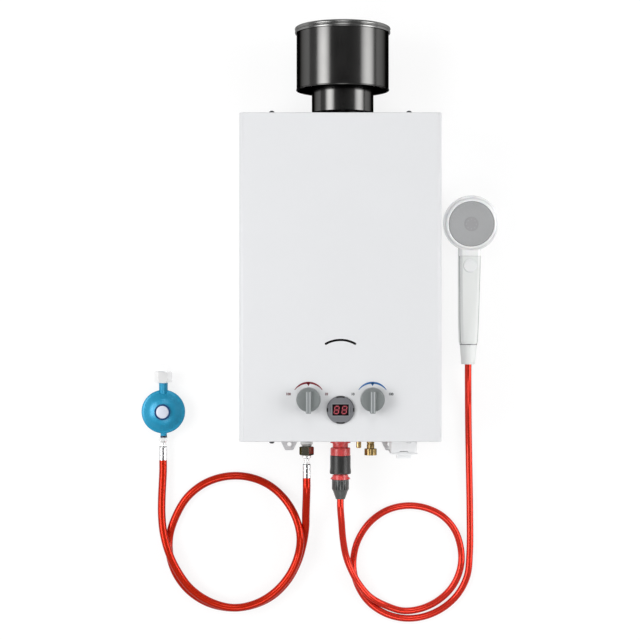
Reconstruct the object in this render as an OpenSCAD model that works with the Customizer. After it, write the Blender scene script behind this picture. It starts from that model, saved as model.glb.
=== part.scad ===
// Portable gas water heater, lying on its back with its hoses laid out.
// X runs across the casing, Y up towards the rain cap, Z out of the front.
// The origin is the middle of the back face. All sizes are in millimetres.

/* [Casing] */
// Width of the casing
case_w = 298; // [285:1:330]
// Height of the casing, without the rain cap
case_h = 484; // [470:1:540]
// Depth of the casing, back face to front face
case_d = 138; // [134:1:160]
// Thickness of the sheet steel
sheet_t = 1.2; // [0.8:0.1:1.6]
// Outside radius of the long front bends
bend_r = 8; // [4:0.5:12]
// Outside radius of the short front bends
end_r = 2; // [1.8:0.1:4]
// Depth of the flanges turned in at the cover's ends
lip_d = 14; // [12:1:22]
// Height of the back plate's side flanges
flange_h = 16; // [10:1:22]
// Length of a stiffening swage in the back plate
swage_l = 190; // [120:5:240]
// Width of a swage
swage_w = 18; // [10:1:26]
// Depth of a swage
swage_d = 2.5; // [1:0.5:4]

/* [Wall fixings] */
// Half the distance between the two lower lugs
lug_x = 78; // [70:1:95]
// How far a lug hangs below the casing
lug_drop = 23.4; // [20:0.2:28]
// Width of a lug where it leaves the casing
lug_w = 36; // [26:1:40]
// Width of a lug at its flat end
lug_tip_w = 14; // [12:0.5:16]
// Radius of the fixing holes
fix_r = 3.25; // [2.5:0.05:3.5]
// Radius of the hanging hole's entry
hang_r = 6.5; // [5.5:0.1:8]
// Distance of the hanging hole below the top edge
hang_drop = 26; // [22:1:34]

/* [Sight slot] */
// Radius of the slot's arc
sight_r = 44; // [38:1:60]
// Width of the slot, end to end
sight_w = 46.5; // [34:0.5:54]
// Height of the slot
sight_h = 3.3; // [2.5:0.1:4.5]
// Height of the slot's top above the casing's bottom edge
sight_up = 151.3; // [146:0.5:160]

/* [Controls] */
// Half the distance between the two knobs
knob_x = 47; // [45:0.5:52]
// Height of the knobs above the casing's bottom edge
knob_up = 62; // [58:1:70]
// Diameter of a knob
knob_dia = 36; // [32:0.5:40]
// Depth of a knob's round body
knob_h = 17; // [14:0.5:22]
// Width of a knob's grip bar
bar_w = 8; // [6:0.5:10]
// How far the grip bar stands above the knob's face
bar_h = 5; // [3:0.5:8]
// How far the grip bar overhangs the knob at its tail
bar_over = 1.4; // [0.5:0.1:2]
// Diameter of a control spindle
spindle_dia = 8; // [6:0.5:9]
// Diameter of the display's bezel
bezel_dia = 41; // [38:0.5:43]
// Height of the display above the casing's bottom edge
display_up = 47; // [45:0.5:50]
// Width of the display's window
window_w = 24; // [20:0.5:26]
// Height of the display's window
window_h = 16.5; // [12:0.5:18]

/* [Flue and rain cap] */
// Sideways place of the flue
flue_x = 4; // [-6:1:8]
// Distance of the flue's axis behind the front face
flue_back = 62; // [58:1:64]
// Diameter of the flue neck
neck_dia = 93; // [86:1:96]
// Length of the neck above the casing
neck_up = 72; // [60:1:90]
// Diameter of the cap's drum
drum_dia = 139; // [132:1:144]
// Length of the drum
drum_h = 93; // [76:1:100]
// Height of the drum's lower rim above the casing
drum_up = 40; // [34:1:48]
// Diameter of the cap's lid
lid_dia = 143; // [141:0.5:147]
// Thickness of the flue's stainless sheet
flue_t = 0.8; // [0.6:0.1:1.2]

/* [Heat exchanger and burner] */
// Width of the combustion chamber
chamber_w = 200; // [180:1:210]
// Depth of the combustion chamber
chamber_d = 100; // [90:1:104]
// Height of the combustion chamber, fins included
chamber_h = 196; // [180:1:204]
// Height of the chamber's foot above the casing's bottom edge
chamber_up = 158; // [155:1:162]
// Thickness of the chamber's copper sheet
copper_t = 1; // [0.8:0.1:1.4]
// Number of fins
fin_n = 22; // [12:1:26]
// Thickness of a fin
fin_t = 1; // [0.6:0.1:1.4]
// Height of a fin
fin_h = 42; // [36:1:50]
// Radius of the water tubes
tube_r = 7; // [6:0.1:7.5]
// Distance between neighbouring water tubes
tube_pitch = 20; // [18:0.1:21]
// Number of burner bars
bar_n = 12; // [8:1:12]
// Thickness of a burner bar
burner_bar_t = 10; // [7:0.5:11]
// Height of a burner bar
burner_bar_h = 34; // [28:1:36]

/* [Fittings under the casing] */
// Distance of the row of fittings in front of the back face
fit_z = 46; // [44:1:50]
// Sideways place of the gas inlet
gas_x = -50.5; // [-52:0.5:-49]
// Width of the gas inlet casting
gas_block_w = 18.6; // [17:0.1:20]
// Width of the gas nut across its corners
gas_nut_w = 22.7; // [20:0.1:24]
// Height of the gas nut
gas_nut_h = 13; // [10:0.5:15]
// Sideways place of the drain plug
drain_x = 29; // [26:0.5:30]
// Diameter of the drain plug
drain_dia = 7.7; // [6:0.1:9]
// Length of the drain plug below the casing
drain_l = 16.4; // [12:0.1:20]
// Diameter of the cold-water inlet's neck
cold_neck_dia = 11.4; // [9.6:0.1:12.4]
// Diameter of the cold-water inlet's thread
cold_dia = 18.6; // [16:0.1:21]
// Length of the cold-water inlet's thread
cold_thread_l = 9.8; // [7:0.1:12]
// Bore of the cold-water inlet
cold_bore = 7; // [5:0.1:8]

/* [Quick connector] */
// Sideways place of the hot-water outlet and its connector
hot_x = 1; // [-1:0.5:2]
// Diameter of the tap adapter's flange
adapter_dia = 31; // [28:0.5:33]
// Diameter of the red collar on the connector
collar_dia = 30.5; // [27:0.5:32]
// Length of the red collar
collar_l = 12; // [10:0.5:14]
// Diameter of the release sleeve's lower end
sleeve_dia = 32.5; // [29:0.5:34]
// Length of the release sleeve
sleeve_l = 28; // [24:0.5:32]
// Travel of the release sleeve
sleeve_travel = 4; // [3:0.5:5]
// Diameter of the ribbed hose nut
hose_nut_dia = 26; // [23:0.1:28]
// Number of ribs on the hose nut
rib_n = 18; // [12:1:24]

/* [Battery compartment] */
// Sideways place of the battery box
battery_x = 95; // [94:0.5:100]
// Diameter of a D cell
cell_dia = 33.6; // [32:0.1:34]
// Length of a D cell
cell_l = 61; // [58:0.5:62]
// Wall of the battery box
battery_wall = 1.6; // [1.2:0.1:2.2]
// How far the battery box hangs below the casing
battery_drop = 19; // [16:0.5:24]
// Radius of the lid's hinge pin
pin_r = 1.5; // [1.2:0.1:2]

/* [Hand shower] */
// Diameter of the shower head
head_dia = 86; // [80:1:92]
// Diameter of the spray face
face_dia = 69; // [60:1:70]
// Tilt of the shower head against the handle, in degrees
head_tilt = 12; // [8:1:14]
// Radius of the handle at its upper end
grip_r_top = 17.8; // [16.5:0.1:18.2]
// Radius of the handle at its lower end
grip_r_end = 15.1; // [13:0.1:15.4]
// Diameter of the push button
button_dia = 20.6; // [16:0.2:21]
// Travel of the push button
button_travel = 2; // [1:0.5:3]
// Number of nozzle rings on the spray face
nozzle_rings = 4; // [2:1:5]

/* [Gas regulator] */
// Diameter of the regulator's body
reg_dia = 67; // [60:1:72]
// Height of the regulator's body and bonnet together
reg_h = 33; // [30:1:38]
// Distance of the regulator's gas way above the surface
reg_axis_z = 15; // [14.6:0.1:17]
// Distance of the outlet to the gas hose above the surface
reg_outlet_z = 10; // [9:0.1:10.4]
// Width of the bottle nut across its corners
bottle_nut_w = 27.4; // [26:0.2:29]
// Length of the bottle nut
bottle_nut_l = 17.5; // [15:0.5:22]
// Thread diameter inside the bottle nut
bottle_thread_dia = 21.8; // [20:0.1:22]

/* [Hoses] */
// Outside diameter of the gas hose
gas_hose_dia = 12; // [11:0.1:12.2]
// Outside diameter of the shower hose
shower_hose_dia = 10.5; // [9.5:0.1:10.6]
// Length of a crimped ferrule
ferrule_l = 21; // [18:0.5:24]

/* [Hidden] */
$fn = 64;
gap = 0.3; // clearance between separate pieces
run_gap = 0.07; // radial clearance of a turning or sliding fit
eps = 0.01; // overrun of a cut

top_y = case_h / 2;
bottom_y = -case_h / 2;
inner_x = case_w / 2 - sheet_t;
panel_d = case_d - lip_d - gap;
flue_z = case_d - flue_back;

knob_y = bottom_y + knob_up;
display_y = bottom_y + display_up;

// Printed circuit, bezel and window share the display's depths
bezel_neck_r = bezel_dia / 2 - 2.4;
bezel_back_z = case_d - 8;
bezel_front_z = case_d + 3.5;

// Spindles run from the valves to the knobs
spindle_r = spindle_dia / 2;
valve_front_z = case_d - 42;
spindle_back_z = valve_front_z - 18;
spindle_front_z = case_d + knob_h - 4;

// Chamber, fins and hood stand on the burner
chamber_x = flue_x;
chamber_y = bottom_y + chamber_up;
chamber_top = chamber_y + chamber_h;
fin_top = chamber_top - 6;
fin_y = fin_top - fin_h / 2;
chamber_z0 = flue_z - chamber_d / 2;
chamber_z1 = flue_z + chamber_d / 2;
burner_top = chamber_y - 20;
burner_bottom = burner_top - burner_bar_h;
burner_w = chamber_w - 16;
side_t = 1.2;
bar_d = chamber_d - 18;
manifold_r = 6;
manifold_y = burner_bottom + 9;
manifold_z = chamber_z1 - 4;

// The gas way under the casing, from the casting down to the hose
gas_block_y = bottom_y - 14;
gas_nut_y = gas_block_y - gas_nut_h;
gas_tail_y = gas_nut_y - 14;
gas_ferrule_y = bottom_y - 62;

// The quick connector, from the adapter down to the hose nut
adapter_y = bottom_y - 5;
collar_y = adapter_y - 10.3;
sleeve_y = collar_y - collar_l;
wing_y = sleeve_y - sleeve_l - sleeve_travel - 2 * gap;
hose_nut_y = wing_y - 4;
shower_hose_y = bottom_y - 94;
adapter_nipple_r = 7.8;
outlet_r = 9;

// The battery box holds two cells side by side
battery_in_w = cell_dia + 2;
battery_in_d = 2 * cell_dia + 1.5;
battery_w = battery_in_w + 2 * battery_wall;
battery_d = battery_in_d + 2 * battery_wall;
battery_z0 = case_d - 106;
battery_y = bottom_y - battery_drop;
battery_h = cell_l + 8 + battery_wall;
lid_t = 2;
lid_w = battery_w + 2;
hinge_r = pin_r + run_gap;
ear_x = battery_w / 2 - 5;
hinge_z = battery_z0 - 3.2;
hinge_y = battery_y - 1.2;

// The hand shower lies face up beside the casing
head_x = 201.3;
head_y = bottom_y + 327;
head_z = 36;
shower_turn = -0.75;
grip_z = grip_r_top;
grip_flat = 13;
seam_y = -50;
button_y = -64.5;
grip_end_y = -185.4;
collar_end_y = -216.3;

// The regulator lies on its back at the far end of the gas hose
reg_x = -272;
reg_y = bottom_y + 37.5;
reg_r = reg_dia / 2;
reg_rim_z = 15.5;
reg_neck_r = 6.8;
bottle_nut_y = reg_y + 44.3;
reg_outlet_y = reg_y - 40.1;
reg_ferrule_y = reg_y - 75.5;

// Routes of the hoses: hand-chosen points on their centre lines, with Y
// counted from the casing's bottom edge
gas_route = [
    [-273, -38, 10], [-273, -54, 10], [-274, -76, 10], [-275, -98, 10],
    [-275, -122, 11], [-272, -148, 16], [-264, -178, 18.6], [-250, -208, 18.6],
    [-229, -236, 18.6], [-199, -256, 18.6], [-163, -265, 18.6], [-128, -258, 18.6],
    [-99, -240, 18.8], [-77, -214, 19.4], [-64, -184, 21.8], [-60.5, -154, 26.6],
    [-68, -124, 24], [-86, -96, 16], [-112, -75, 9], [-144, -64, 6],
    [-178, -64, 6], [-210, -75, 6], [-236, -96, 6], [-253, -124, 6],
    [-263, -154, 6], [-263.5, -182, 6], [-254, -213, 6], [-234, -240, 6],
    [-205, -259, 6], [-170, -267, 6], [-136, -263.5, 6], [-105, -249.5, 6],
    [-81, -226, 6], [-65, -197, 6.6], [-56.5, -168, 10.8], [-52.5, -142, 19.5],
    [-51.8, -118, 30], [-51, -96, 40], [-50.5, -78, 46], [-50.5, -62, 46]
];
shower_route = [
    [1, -94, 46], [1, -107, 46], [2.8, -130, 40], [5.2, -158, 30],
    [10, -185, 21.5], [19, -209, 17], [31, -230, 16.2], [48, -249.5, 13],
    [73, -264, 7.5], [99, -272, 5.3], [127, -268.5, 5.3], [153, -256, 5.3],
    [174, -236, 5.3], [186.5, -210, 5.3], [189, -182, 5.3], [180, -149, 5.3],
    [161, -126, 5.3], [134, -112.5, 5.3], [104, -109, 5.3], [74, -116, 5.3],
    [48, -134, 5.3], [30, -160, 5.3], [22.5, -185, 5.3], [22, -210, 5.3],
    [30, -236, 5.3], [46, -259, 5.3], [71, -276, 5.3], [100, -283.5, 5.3],
    [130, -281, 5.3], [159, -268.5, 5.3], [183, -247, 5.3], [198, -218, 5.3],
    [202, -182, 5.3], [202.3, -123, 5.3], [201, -43, 5.3], [200.1, 12, 5.3],
    [199.5, 47, 8], [198.9, 72, 13.5], [198.4, 95, 17.8], [198.5, 110.6, 17.8]
];
hose_sides = 10;

// ---- Helpers ----------------------------------------------------------

// Stands a revolved or extruded fitting on end, pointing down the casing
module hang(x, y, z) {
    translate([x, y, z]) rotate([90, 0, 0]) children();
}

// The same, pointing up towards the rain cap
module rise(x, y, z) {
    translate([x, y, z]) rotate([-90, 0, 0]) children();
}

// A rod along X from x0 to x1
module rod_x(x0, x1, y, z, r) {
    translate([x0, y, z]) rotate([0, 90, 0]) cylinder(r = r, h = x1 - x0);
}

// A box between two corners
module block(a, b) {
    translate(a) cube(b - a);
}

// A flat rectangle with round corners
module round_rect(w, h, r) {
    square([w - 2 * r, h], center = true);
    square([w, h - 2 * r], center = true);
    for (sx = [-1, 1], sy = [-1, 1]) {
        translate([sx * (w / 2 - r), sy * (h / 2 - r)]) circle(r);
    }
}

// A slot with round ends
module stadium(l, w) {
    square([l - w, w], center = true);
    for (s = [-1, 1]) {
        translate([s * (l - w) / 2, 0]) circle(w / 2);
    }
}

// A pipe through a list of points, with ball-cornered elbows
module pipe(points, r) {
    for (i = [0 : len(points) - 2]) {
        leg(points[i], points[i + 1], r);
    }
    for (i = [1 : len(points) - 2]) {
        translate(points[i]) sphere(r);
    }
}

// One straight leg of a pipe, along an axis
module leg(a, b, r) {
    d = b - a;
    turn = d.x != 0 ? [0, 90 * sign(d.x), 0] :
        d.y != 0 ? [-90 * sign(d.y), 0, 0] : [d.z < 0 ? 180 : 0, 0, 0];
    translate(a) rotate(turn) cylinder(r = r, h = norm(d));
}

// A hexagonal nut with chamfered corners; w is across the corners
module hex_nut(w, h, bore_r) {
    chamfer = w * 0.07;
    difference() {
        intersection() {
            cylinder(r = w / 2, h = h, $fn = 6);
            rotate_extrude() polygon([
                [0, 0], [w / 2 - chamfer, 0], [w / 2, chamfer * 0.6],
                [w / 2, h - chamfer * 0.6], [w / 2 - chamfer, h], [0, h]
            ]);
        }
        translate([0, 0, -1]) cylinder(r = bore_r, h = h + 2);
    }
}

// The direction of a route at one of its points
function heading(p, i) =
    let(a = p[max(i - 1, 0)], b = p[min(i + 1, len(p) - 1)]) (b - a) / norm(b - a);

// One ring of a tube, square to the route
function ring(p, i, r, n) =
    let(t = heading(p, i), s = cross(t, [0, 0, 1]) / norm(cross(t, [0, 0, 1])), u = cross(s, t))
    [for (k = [0 : n - 1]) p[i] + r * (cos(360 * k / n) * s + sin(360 * k / n) * u)];

// Length of a route
function route_length(p, i = 0) =
    i >= len(p) - 1 ? 0 : norm(p[i + 1] - p[i]) + route_length(p, i + 1);

// A hose swept along a route
module hose(p, r, n) {
    m = len(p);
    points = [for (i = [0 : m - 1]) each ring(p, i, r, n)];
    walls = [for (i = [0 : m - 2], k = [0 : n - 1])
        let(a = i * n + k, b = i * n + (k + 1) % n)
        each [[a, b, b + n], [a, b + n, a + n]]];
    start = [for (k = [1 : n - 2]) [0, k + 1, k]];
    last = (m - 1) * n;
    finish = [for (k = [1 : n - 2]) [last, last + k, last + k + 1]];
    polyhedron(points = points, faces = concat(walls, start, finish));
}

// ---- Casing -----------------------------------------------------------

// Outline of a lug: a tapered tab with a flat end and cut corners
module lug_outline() {
    tip_y = bottom_y - lug_drop;
    polygon([
        [-lug_w / 2, bottom_y + 1], [lug_w / 2, bottom_y + 1],
        [lug_tip_w / 2, tip_y + 1.6], [lug_tip_w / 2 - 1.4, tip_y],
        [1.4 - lug_tip_w / 2, tip_y], [-lug_tip_w / 2, tip_y + 1.6]
    ]);
}

lug_hole_y = bottom_y - lug_drop + 9.4;

// A keyhole: a round entry with a slot above it
module keyhole() {
    circle(hang_r);
    translate([0, 7]) rotate(90) stadium(14 + 2 * fix_r, 2 * fix_r);
}

module swage(y, grow) {
    translate([0, y]) stadium(swage_l + 2 * grow, swage_w + 2 * grow);
}

module back_plate() {
    color("gainsboro") {
        difference() {
            union() {
                linear_extrude(sheet_t) {
                    square([2 * (inner_x - gap), case_h], center = true);
                    for (s = [-1, 1]) {
                        translate([s * lug_x, 0]) lug_outline();
                    }
                }
                for (s = [-1, 1]) {
                    translate([s * (inner_x - gap - sheet_t / 2), 0, flange_h / 2])
                        cube([sheet_t, case_h - 2 * (sheet_t + gap), flange_h], center = true);
                }
                for (y = [-case_h / 4, case_h / 4]) {
                    linear_extrude(sheet_t + swage_d) swage(y, sheet_t);
                }
                for (s = [-1, 1]) {
                    translate([s * lug_x, lug_hole_y, 0]) cylinder(r = fix_r + 2.2, h = sheet_t + 1);
                }
            }
            for (y = [-case_h / 4, case_h / 4]) {
                translate([0, 0, -eps]) linear_extrude(swage_d) swage(y, 0);
            }
            for (s = [-1, 1]) {
                translate([s * lug_x, lug_hole_y, -1]) cylinder(r = fix_r, h = sheet_t + 3);
            }
            translate([0, top_y - hang_drop, -1]) linear_extrude(sheet_t + 2) keyhole();
        }
    }
}

// The tab behind a cover flange that takes a cover screw
module screw_tab(x, end) {
    y0 = top_y - 2 * sheet_t - gap;
    mirror([0, end < 0 ? 1 : 0, 0]) translate([x, 0, 0]) difference() {
        union() {
            block([-10, y0, panel_d - 8], [10, y0 + sheet_t, case_d - 4]);
            block([-10, y0 + sheet_t - eps, panel_d - 8], [10, top_y - sheet_t + eps, panel_d - 2]);
        }
        rise(0, y0 - 1, screw_z) cylinder(r = screw_r - 0.2, h = sheet_t + 2);
    }
}

screw_x = 101;
screw_z = case_d - lip_d / 2;
screw_r = 2;

// The air slots between the fittings
module air_slots() {
    slot_w = 5;
    slot_l = panel_d * 0.38;
    for (i = [0 : 4]) {
        hang(-case_w / 2 + 22 + i * 10, bottom_y + sheet_t + 1, panel_d / 2)
            linear_extrude(sheet_t + 2) rotate(90) stadium(slot_l, slot_w);
    }
    for (i = [0 : 7]) {
        hang(-34 + i * 12, bottom_y + sheet_t + 1, panel_d - 24)
            linear_extrude(sheet_t + 2) rotate(90) stadium(slot_l * 0.6, slot_w);
    }
}

module bottom_panel() {
    color("gainsboro") {
        difference() {
            block([-inner_x + gap, bottom_y, sheet_t], [inner_x - gap, bottom_y + sheet_t, panel_d]);
            air_slots();
            hang(gas_x, bottom_y + sheet_t + 1, fit_z)
                linear_extrude(sheet_t + 2) square(gas_block_w + 2 * gap, center = true);
            hang(hot_x, bottom_y + sheet_t + 1, fit_z)
                cylinder(r = outlet_r + gap, h = sheet_t + 2);
            hang(drain_x, bottom_y + sheet_t + 1, fit_z)
                cylinder(r = drain_dia / 2 + gap, h = sheet_t + 2);
            hang(knob_x, bottom_y + sheet_t + 1, fit_z)
                cylinder(r = cold_neck_dia / 2 + gap, h = sheet_t + 2);
            block(
                [battery_x - battery_w / 2 - gap, bottom_y - 1, battery_z0 - gap],
                [battery_x + battery_w / 2 + gap, bottom_y + sheet_t + 1, battery_z0 + battery_d + gap]
            );
            for (s = [-1, 1]) {
                block(
                    [s * lug_x - lug_w / 2 - gap, bottom_y - 1, 0],
                    [s * lug_x + lug_w / 2 + gap, bottom_y + gap, sheet_t + gap]
                );
            }
        }
        for (s = [-1, 1]) {
            screw_tab(s * screw_x, -1);
        }
    }
}

module top_panel() {
    color("gainsboro") {
        difference() {
            block([-inner_x + gap, top_y - sheet_t, sheet_t], [inner_x - gap, top_y, panel_d]);
            rise(flue_x, top_y - sheet_t - 1, flue_z) cylinder(r = neck_dia / 2 + gap, h = sheet_t + 2);
        }
        for (s = [-1, 1]) {
            screw_tab(s * screw_x, 1);
        }
    }
}

// The cover's section across the casing: straight sides, round front corners
module cover_section(inset) {
    w = case_w - 2 * inset;
    h = case_d - inset;
    r = max(bend_r - inset, 0.5);
    translate([-w / 2, gap]) square([w, h - r - gap]);
    translate([-w / 2 + r, h - r]) square([w - 2 * r, r]);
    for (s = [-1, 1]) {
        translate([s * (w / 2 - r), h - r]) circle(r);
    }
}

// The cover's section along the casing, with the short bends
module cover_profile() {
    translate([-case_h / 2, gap]) square([case_h, case_d - end_r - gap]);
    translate([-case_h / 2 + end_r, case_d - end_r]) square([case_h - 2 * end_r, end_r]);
    for (s = [-1, 1]) {
        translate([s * (case_h / 2 - end_r), case_d - end_r]) circle(end_r);
    }
}

// The arched sight slot, drawn about the middle of its arc
module sight_outline() {
    line_r = sight_r;
    half = asin((sight_w - sight_h) / 2 / line_r);
    far = 2 * line_r;
    intersection() {
        difference() {
            circle(line_r + sight_h / 2);
            circle(line_r - sight_h / 2);
        }
        polygon([[0, 0], [far * sin(half), far * cos(half)], [-far * sin(half), far * cos(half)]]);
    }
    for (s = [-1, 1]) {
        translate([s * line_r * sin(half), line_r * cos(half)]) circle(sight_h / 2 - 0.05);
    }
}

sight_top_y = bottom_y + sight_up;
sight_centre_y = sight_top_y - sight_r - sight_h / 2;

module front_cover() {
    color("whitesmoke") {
        difference() {
            intersection() {
                rotate([90, 0, 0]) linear_extrude(case_h, center = true) cover_section(0);
                rotate([90, 0, 90]) linear_extrude(case_w, center = true) cover_profile();
            }
            rotate([90, 0, 0]) linear_extrude(case_h - 2 * sheet_t, center = true)
                cover_section(sheet_t);
            block([-inner_x, -case_h, -1], [inner_x, case_h, case_d - lip_d]);
            for (s = [-1, 1]) {
                translate([s * knob_x, knob_y, case_d - sheet_t - 1])
                    cylinder(r = spindle_r + 4, h = sheet_t + 2);
            }
            translate([0, display_y, case_d - sheet_t - 1])
                cylinder(r = bezel_neck_r + gap, h = sheet_t + 2);
            translate([0, sight_centre_y, case_d - sheet_t - 1])
                linear_extrude(sheet_t + 2) sight_outline();
            for (sx = [-1, 1], sy = [-1, 1]) {
                rise(sx * screw_x, sy * (case_h / 2 - sheet_t / 2) - 2, screw_z)
                    cylinder(r = screw_r + 0.2, h = 4);
            }
            rise(flue_x, top_y - sheet_t - 1, flue_z) cylinder(r = neck_dia / 2 + gap, h = sheet_t + 2);
        }
    }
}

// A pan-head screw, its head on the casing's end face
module cover_screw() {
    head_r = 3.8;
    head_h = 2.8;
    shank_l = 8;
    rotate_extrude() polygon([
        [0, head_h], [head_r * 0.6, head_h], [head_r, head_h * 0.5], [head_r, 0],
        [screw_r - 0.3, 0], [screw_r - 0.3, -shank_l], [0, -shank_l - 1]
    ]);
}

module cover_screws() {
    color("dimgray") {
        for (s = [-1, 1]) {
            rise(s * screw_x, top_y, screw_z) cover_screw();
            hang(s * screw_x, bottom_y, screw_z) cover_screw();
        }
    }
}

module sight_glass() {
    color([0.25, 0.2, 0.15])
        translate([0, sight_top_y - 5, case_d - sheet_t - 0.8])
            linear_extrude(0.8) round_rect(sight_w + 16, 24, 3);
}

// ---- Display and knobs ------------------------------------------------

module display_bezel() {
    r = bezel_dia / 2;
    notch = 1.6;
    color("gray") translate([0, display_y, 0]) difference() {
        union() {
            translate([0, 0, case_d]) rotate_extrude() polygon([
                [0, 0], [r, 0], [r, 1.6], [r - 1.4, bezel_front_z - case_d],
                [0, bezel_front_z - case_d]
            ]);
            translate([0, 0, bezel_back_z]) cylinder(r = bezel_neck_r, h = case_d - bezel_back_z + eps);
        }
        translate([0, 0, (bezel_back_z + bezel_front_z) / 2])
            cube([window_w, window_h, 2 * case_d], center = true);
        for (s = [-1, 1]) {
            translate([0, s * r, case_d + 4]) cube([13, 2 * notch, 6], center = true);
            translate([s * r, 0, case_d + 4]) cube([2 * notch, 6, 6], center = true);
        }
    }
}

module display_window() {
    color([0.08, 0.02, 0.02]) translate([0, display_y, bezel_front_z - 2.6])
        linear_extrude(2) square([window_w - gap, window_h - gap], center = true);
}

module display_board() {
    color("darkgreen") translate([0, display_y, 0]) {
        translate([0, 0, bezel_back_z - 1.8]) linear_extrude(1.6) round_rect(46, 30, 2);
        translate([0, 0, bezel_back_z - 0.21])
            linear_extrude(case_d - bezel_back_z) square([window_w - 1, window_h - 1], center = true);
    }
}

// A knob: a round cup with a grip bar across it and a hub on the spindle.
// Its upper edge is cut to a slope, with a pointer dimple above the bar.
module knob() {
    r = knob_dia / 2;
    wall = 2.4;
    crown = 13;
    side = bar_w / 2 + 1.2;
    bar_top = bar_h + 4;
    color("slategray") difference() {
        union() {
            difference() {
                rotate_extrude() polygon([
                    [0, 0], [r, 0], [r - 0.6, knob_h - 2], [r - 2.2, knob_h], [0, knob_h]
                ]);
                translate([0, crown, knob_h]) rotate([45, 0, 0])
                    translate([-r, 0, -8]) cube([2 * r, 20, 20]);
            }
            translate([0, (crown - r - bar_over) / 2, knob_h - 4]) intersection() {
                linear_extrude(bar_h + 4) round_rect(bar_w, crown + r + bar_over, 1.5);
                rotate([90, 0, 0]) linear_extrude(2 * knob_dia, center = true) polygon([
                    [-side, -1], [side, -1], [side, bar_top - 2.4], [side - 2.4, bar_top],
                    [2.4 - side, bar_top], [-side, bar_top - 2.4]
                ]);
            }
        }
        difference() {
            translate([0, 0, -1]) cylinder(r = r - wall, h = knob_h - wall - 4);
            cylinder(r = spindle_r + wall, h = knob_h);
        }
        translate([0, 0, -1]) cylinder(r = spindle_r + run_gap, h = spindle_front_z - case_d + 1.2);
    }
}

module spindle() {
    color("silver") {
        translate([0, 0, spindle_back_z])
            cylinder(r = spindle_r, h = spindle_front_z - spindle_back_z - gap);
        translate([0, 0, case_d - sheet_t - 5]) cylinder(r = spindle_r + 2, h = 2);
    }
}

module gas_knob() {
    translate([-knob_x, knob_y, case_d + gap]) knob();
}

module gas_spindle() {
    translate([-knob_x, knob_y, 0]) spindle();
}

module water_knob() {
    translate([knob_x, knob_y, case_d + gap]) knob();
}

module water_spindle() {
    translate([knob_x, knob_y, 0]) spindle();
}

// ---- Flue and rain cap ------------------------------------------------

module flue_collar() {
    collar_r = neck_dia / 2 + 8;
    color("dimgray") rise(flue_x, top_y, flue_z) difference() {
        union() {
            cylinder(r = collar_r, h = 1);
            cylinder(r = neck_dia / 2 + gap + 1.2, h = 6);
        }
        translate([0, 0, -1]) cylinder(r = neck_dia / 2 + gap / 2, h = 8);
    }
}

module flue_neck() {
    color("dimgray") rise(flue_x, top_y - 24, flue_z) difference() {
        cylinder(r = neck_dia / 2, h = 24 + neck_up);
        translate([0, 0, -1]) cylinder(r = neck_dia / 2 - flue_t, h = 26 + neck_up);
    }
}

drum_y = top_y + drum_up;
drum_in_r = drum_dia / 2 - flue_t;
strap_y = drum_y + 12;

// Three stepped straps hold the drum on the neck
module cap_brackets() {
    neck_r = neck_dia / 2 + gap;
    reach = drum_in_r - gap;
    strap_w = 14;
    color("dimgray") rise(flue_x, strap_y, flue_z) {
        for (a = [90, 210, 330]) {
            rotate(-a) {
                intersection() {
                    difference() {
                        cylinder(r = neck_r + 1.2, h = 14);
                        translate([0, 0, -1]) cylinder(r = neck_r, h = 16);
                    }
                    translate([0, -strap_w / 2, -1]) cube([reach, strap_w, 16]);
                }
                intersection() {
                    difference() {
                        cylinder(r = reach, h = 14);
                        translate([0, 0, -1]) cylinder(r = reach - 1.2, h = 16);
                    }
                    translate([0, -strap_w / 2, -1]) cube([reach, strap_w, 16]);
                }
                intersection() {
                    difference() {
                        cylinder(r = reach - 0.6, h = 1.2);
                        translate([0, 0, -1]) cylinder(r = neck_r + 0.6, h = 4);
                    }
                    translate([0, -strap_w / 2, -1]) cube([reach, strap_w, 4]);
                }
            }
        }
    }
}

module cap_drum() {
    bead_r = 1;
    color("dimgray") rise(flue_x, drum_y, flue_z) {
        difference() {
            cylinder(r = drum_dia / 2, h = drum_h);
            translate([0, 0, -1]) cylinder(r = drum_in_r, h = drum_h + 2);
        }
        rotate_extrude() translate([drum_dia / 2 - flue_t / 2, bead_r]) circle(bead_r, $fn = 24);
    }
}

// A shallow pan with a rolled edge over the drum
module cap_lid() {
    r = lid_dia / 2;
    dome = 5;
    rim = 7.5;
    color("dimgray") rise(flue_x, drum_y + drum_h + gap, flue_z) rotate_extrude() polygon([
        [0, dome - flue_t], [r - 8, 1.2], [r - 10, 0], [drum_dia / 2 + gap, 0],
        [drum_dia / 2 + gap, -rim], [r, -rim], [r + 0.6, -rim + 1], [r + 0.6, -1],
        [r - 1, 1.6], [r - 6, 2.6], [0, dome]
    ]);
}

// ---- Heat exchanger ---------------------------------------------------

tube_n = 5;
tube_span = (tube_n - 1) * tube_pitch;

// Where the water tubes cross the chamber
function tube_z(i) = flue_z - tube_span / 2 + i * tube_pitch;

module combustion_chamber() {
    color("peru") difference() {
        block(
            [chamber_x - chamber_w / 2, chamber_y, chamber_z0],
            [chamber_x + chamber_w / 2, chamber_top, chamber_z1]
        );
        block(
            [chamber_x - chamber_w / 2 + copper_t, chamber_y - 1, chamber_z0 + copper_t],
            [chamber_x + chamber_w / 2 - copper_t, chamber_top + 1, chamber_z1 - copper_t]
        );
        for (i = [0 : tube_n - 1]) {
            rod_x(
                chamber_x - chamber_w / 2 - 1, chamber_x + chamber_w / 2 + 1,
                fin_y, tube_z(i), tube_r + gap / 2
            );
        }
    }
}

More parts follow.
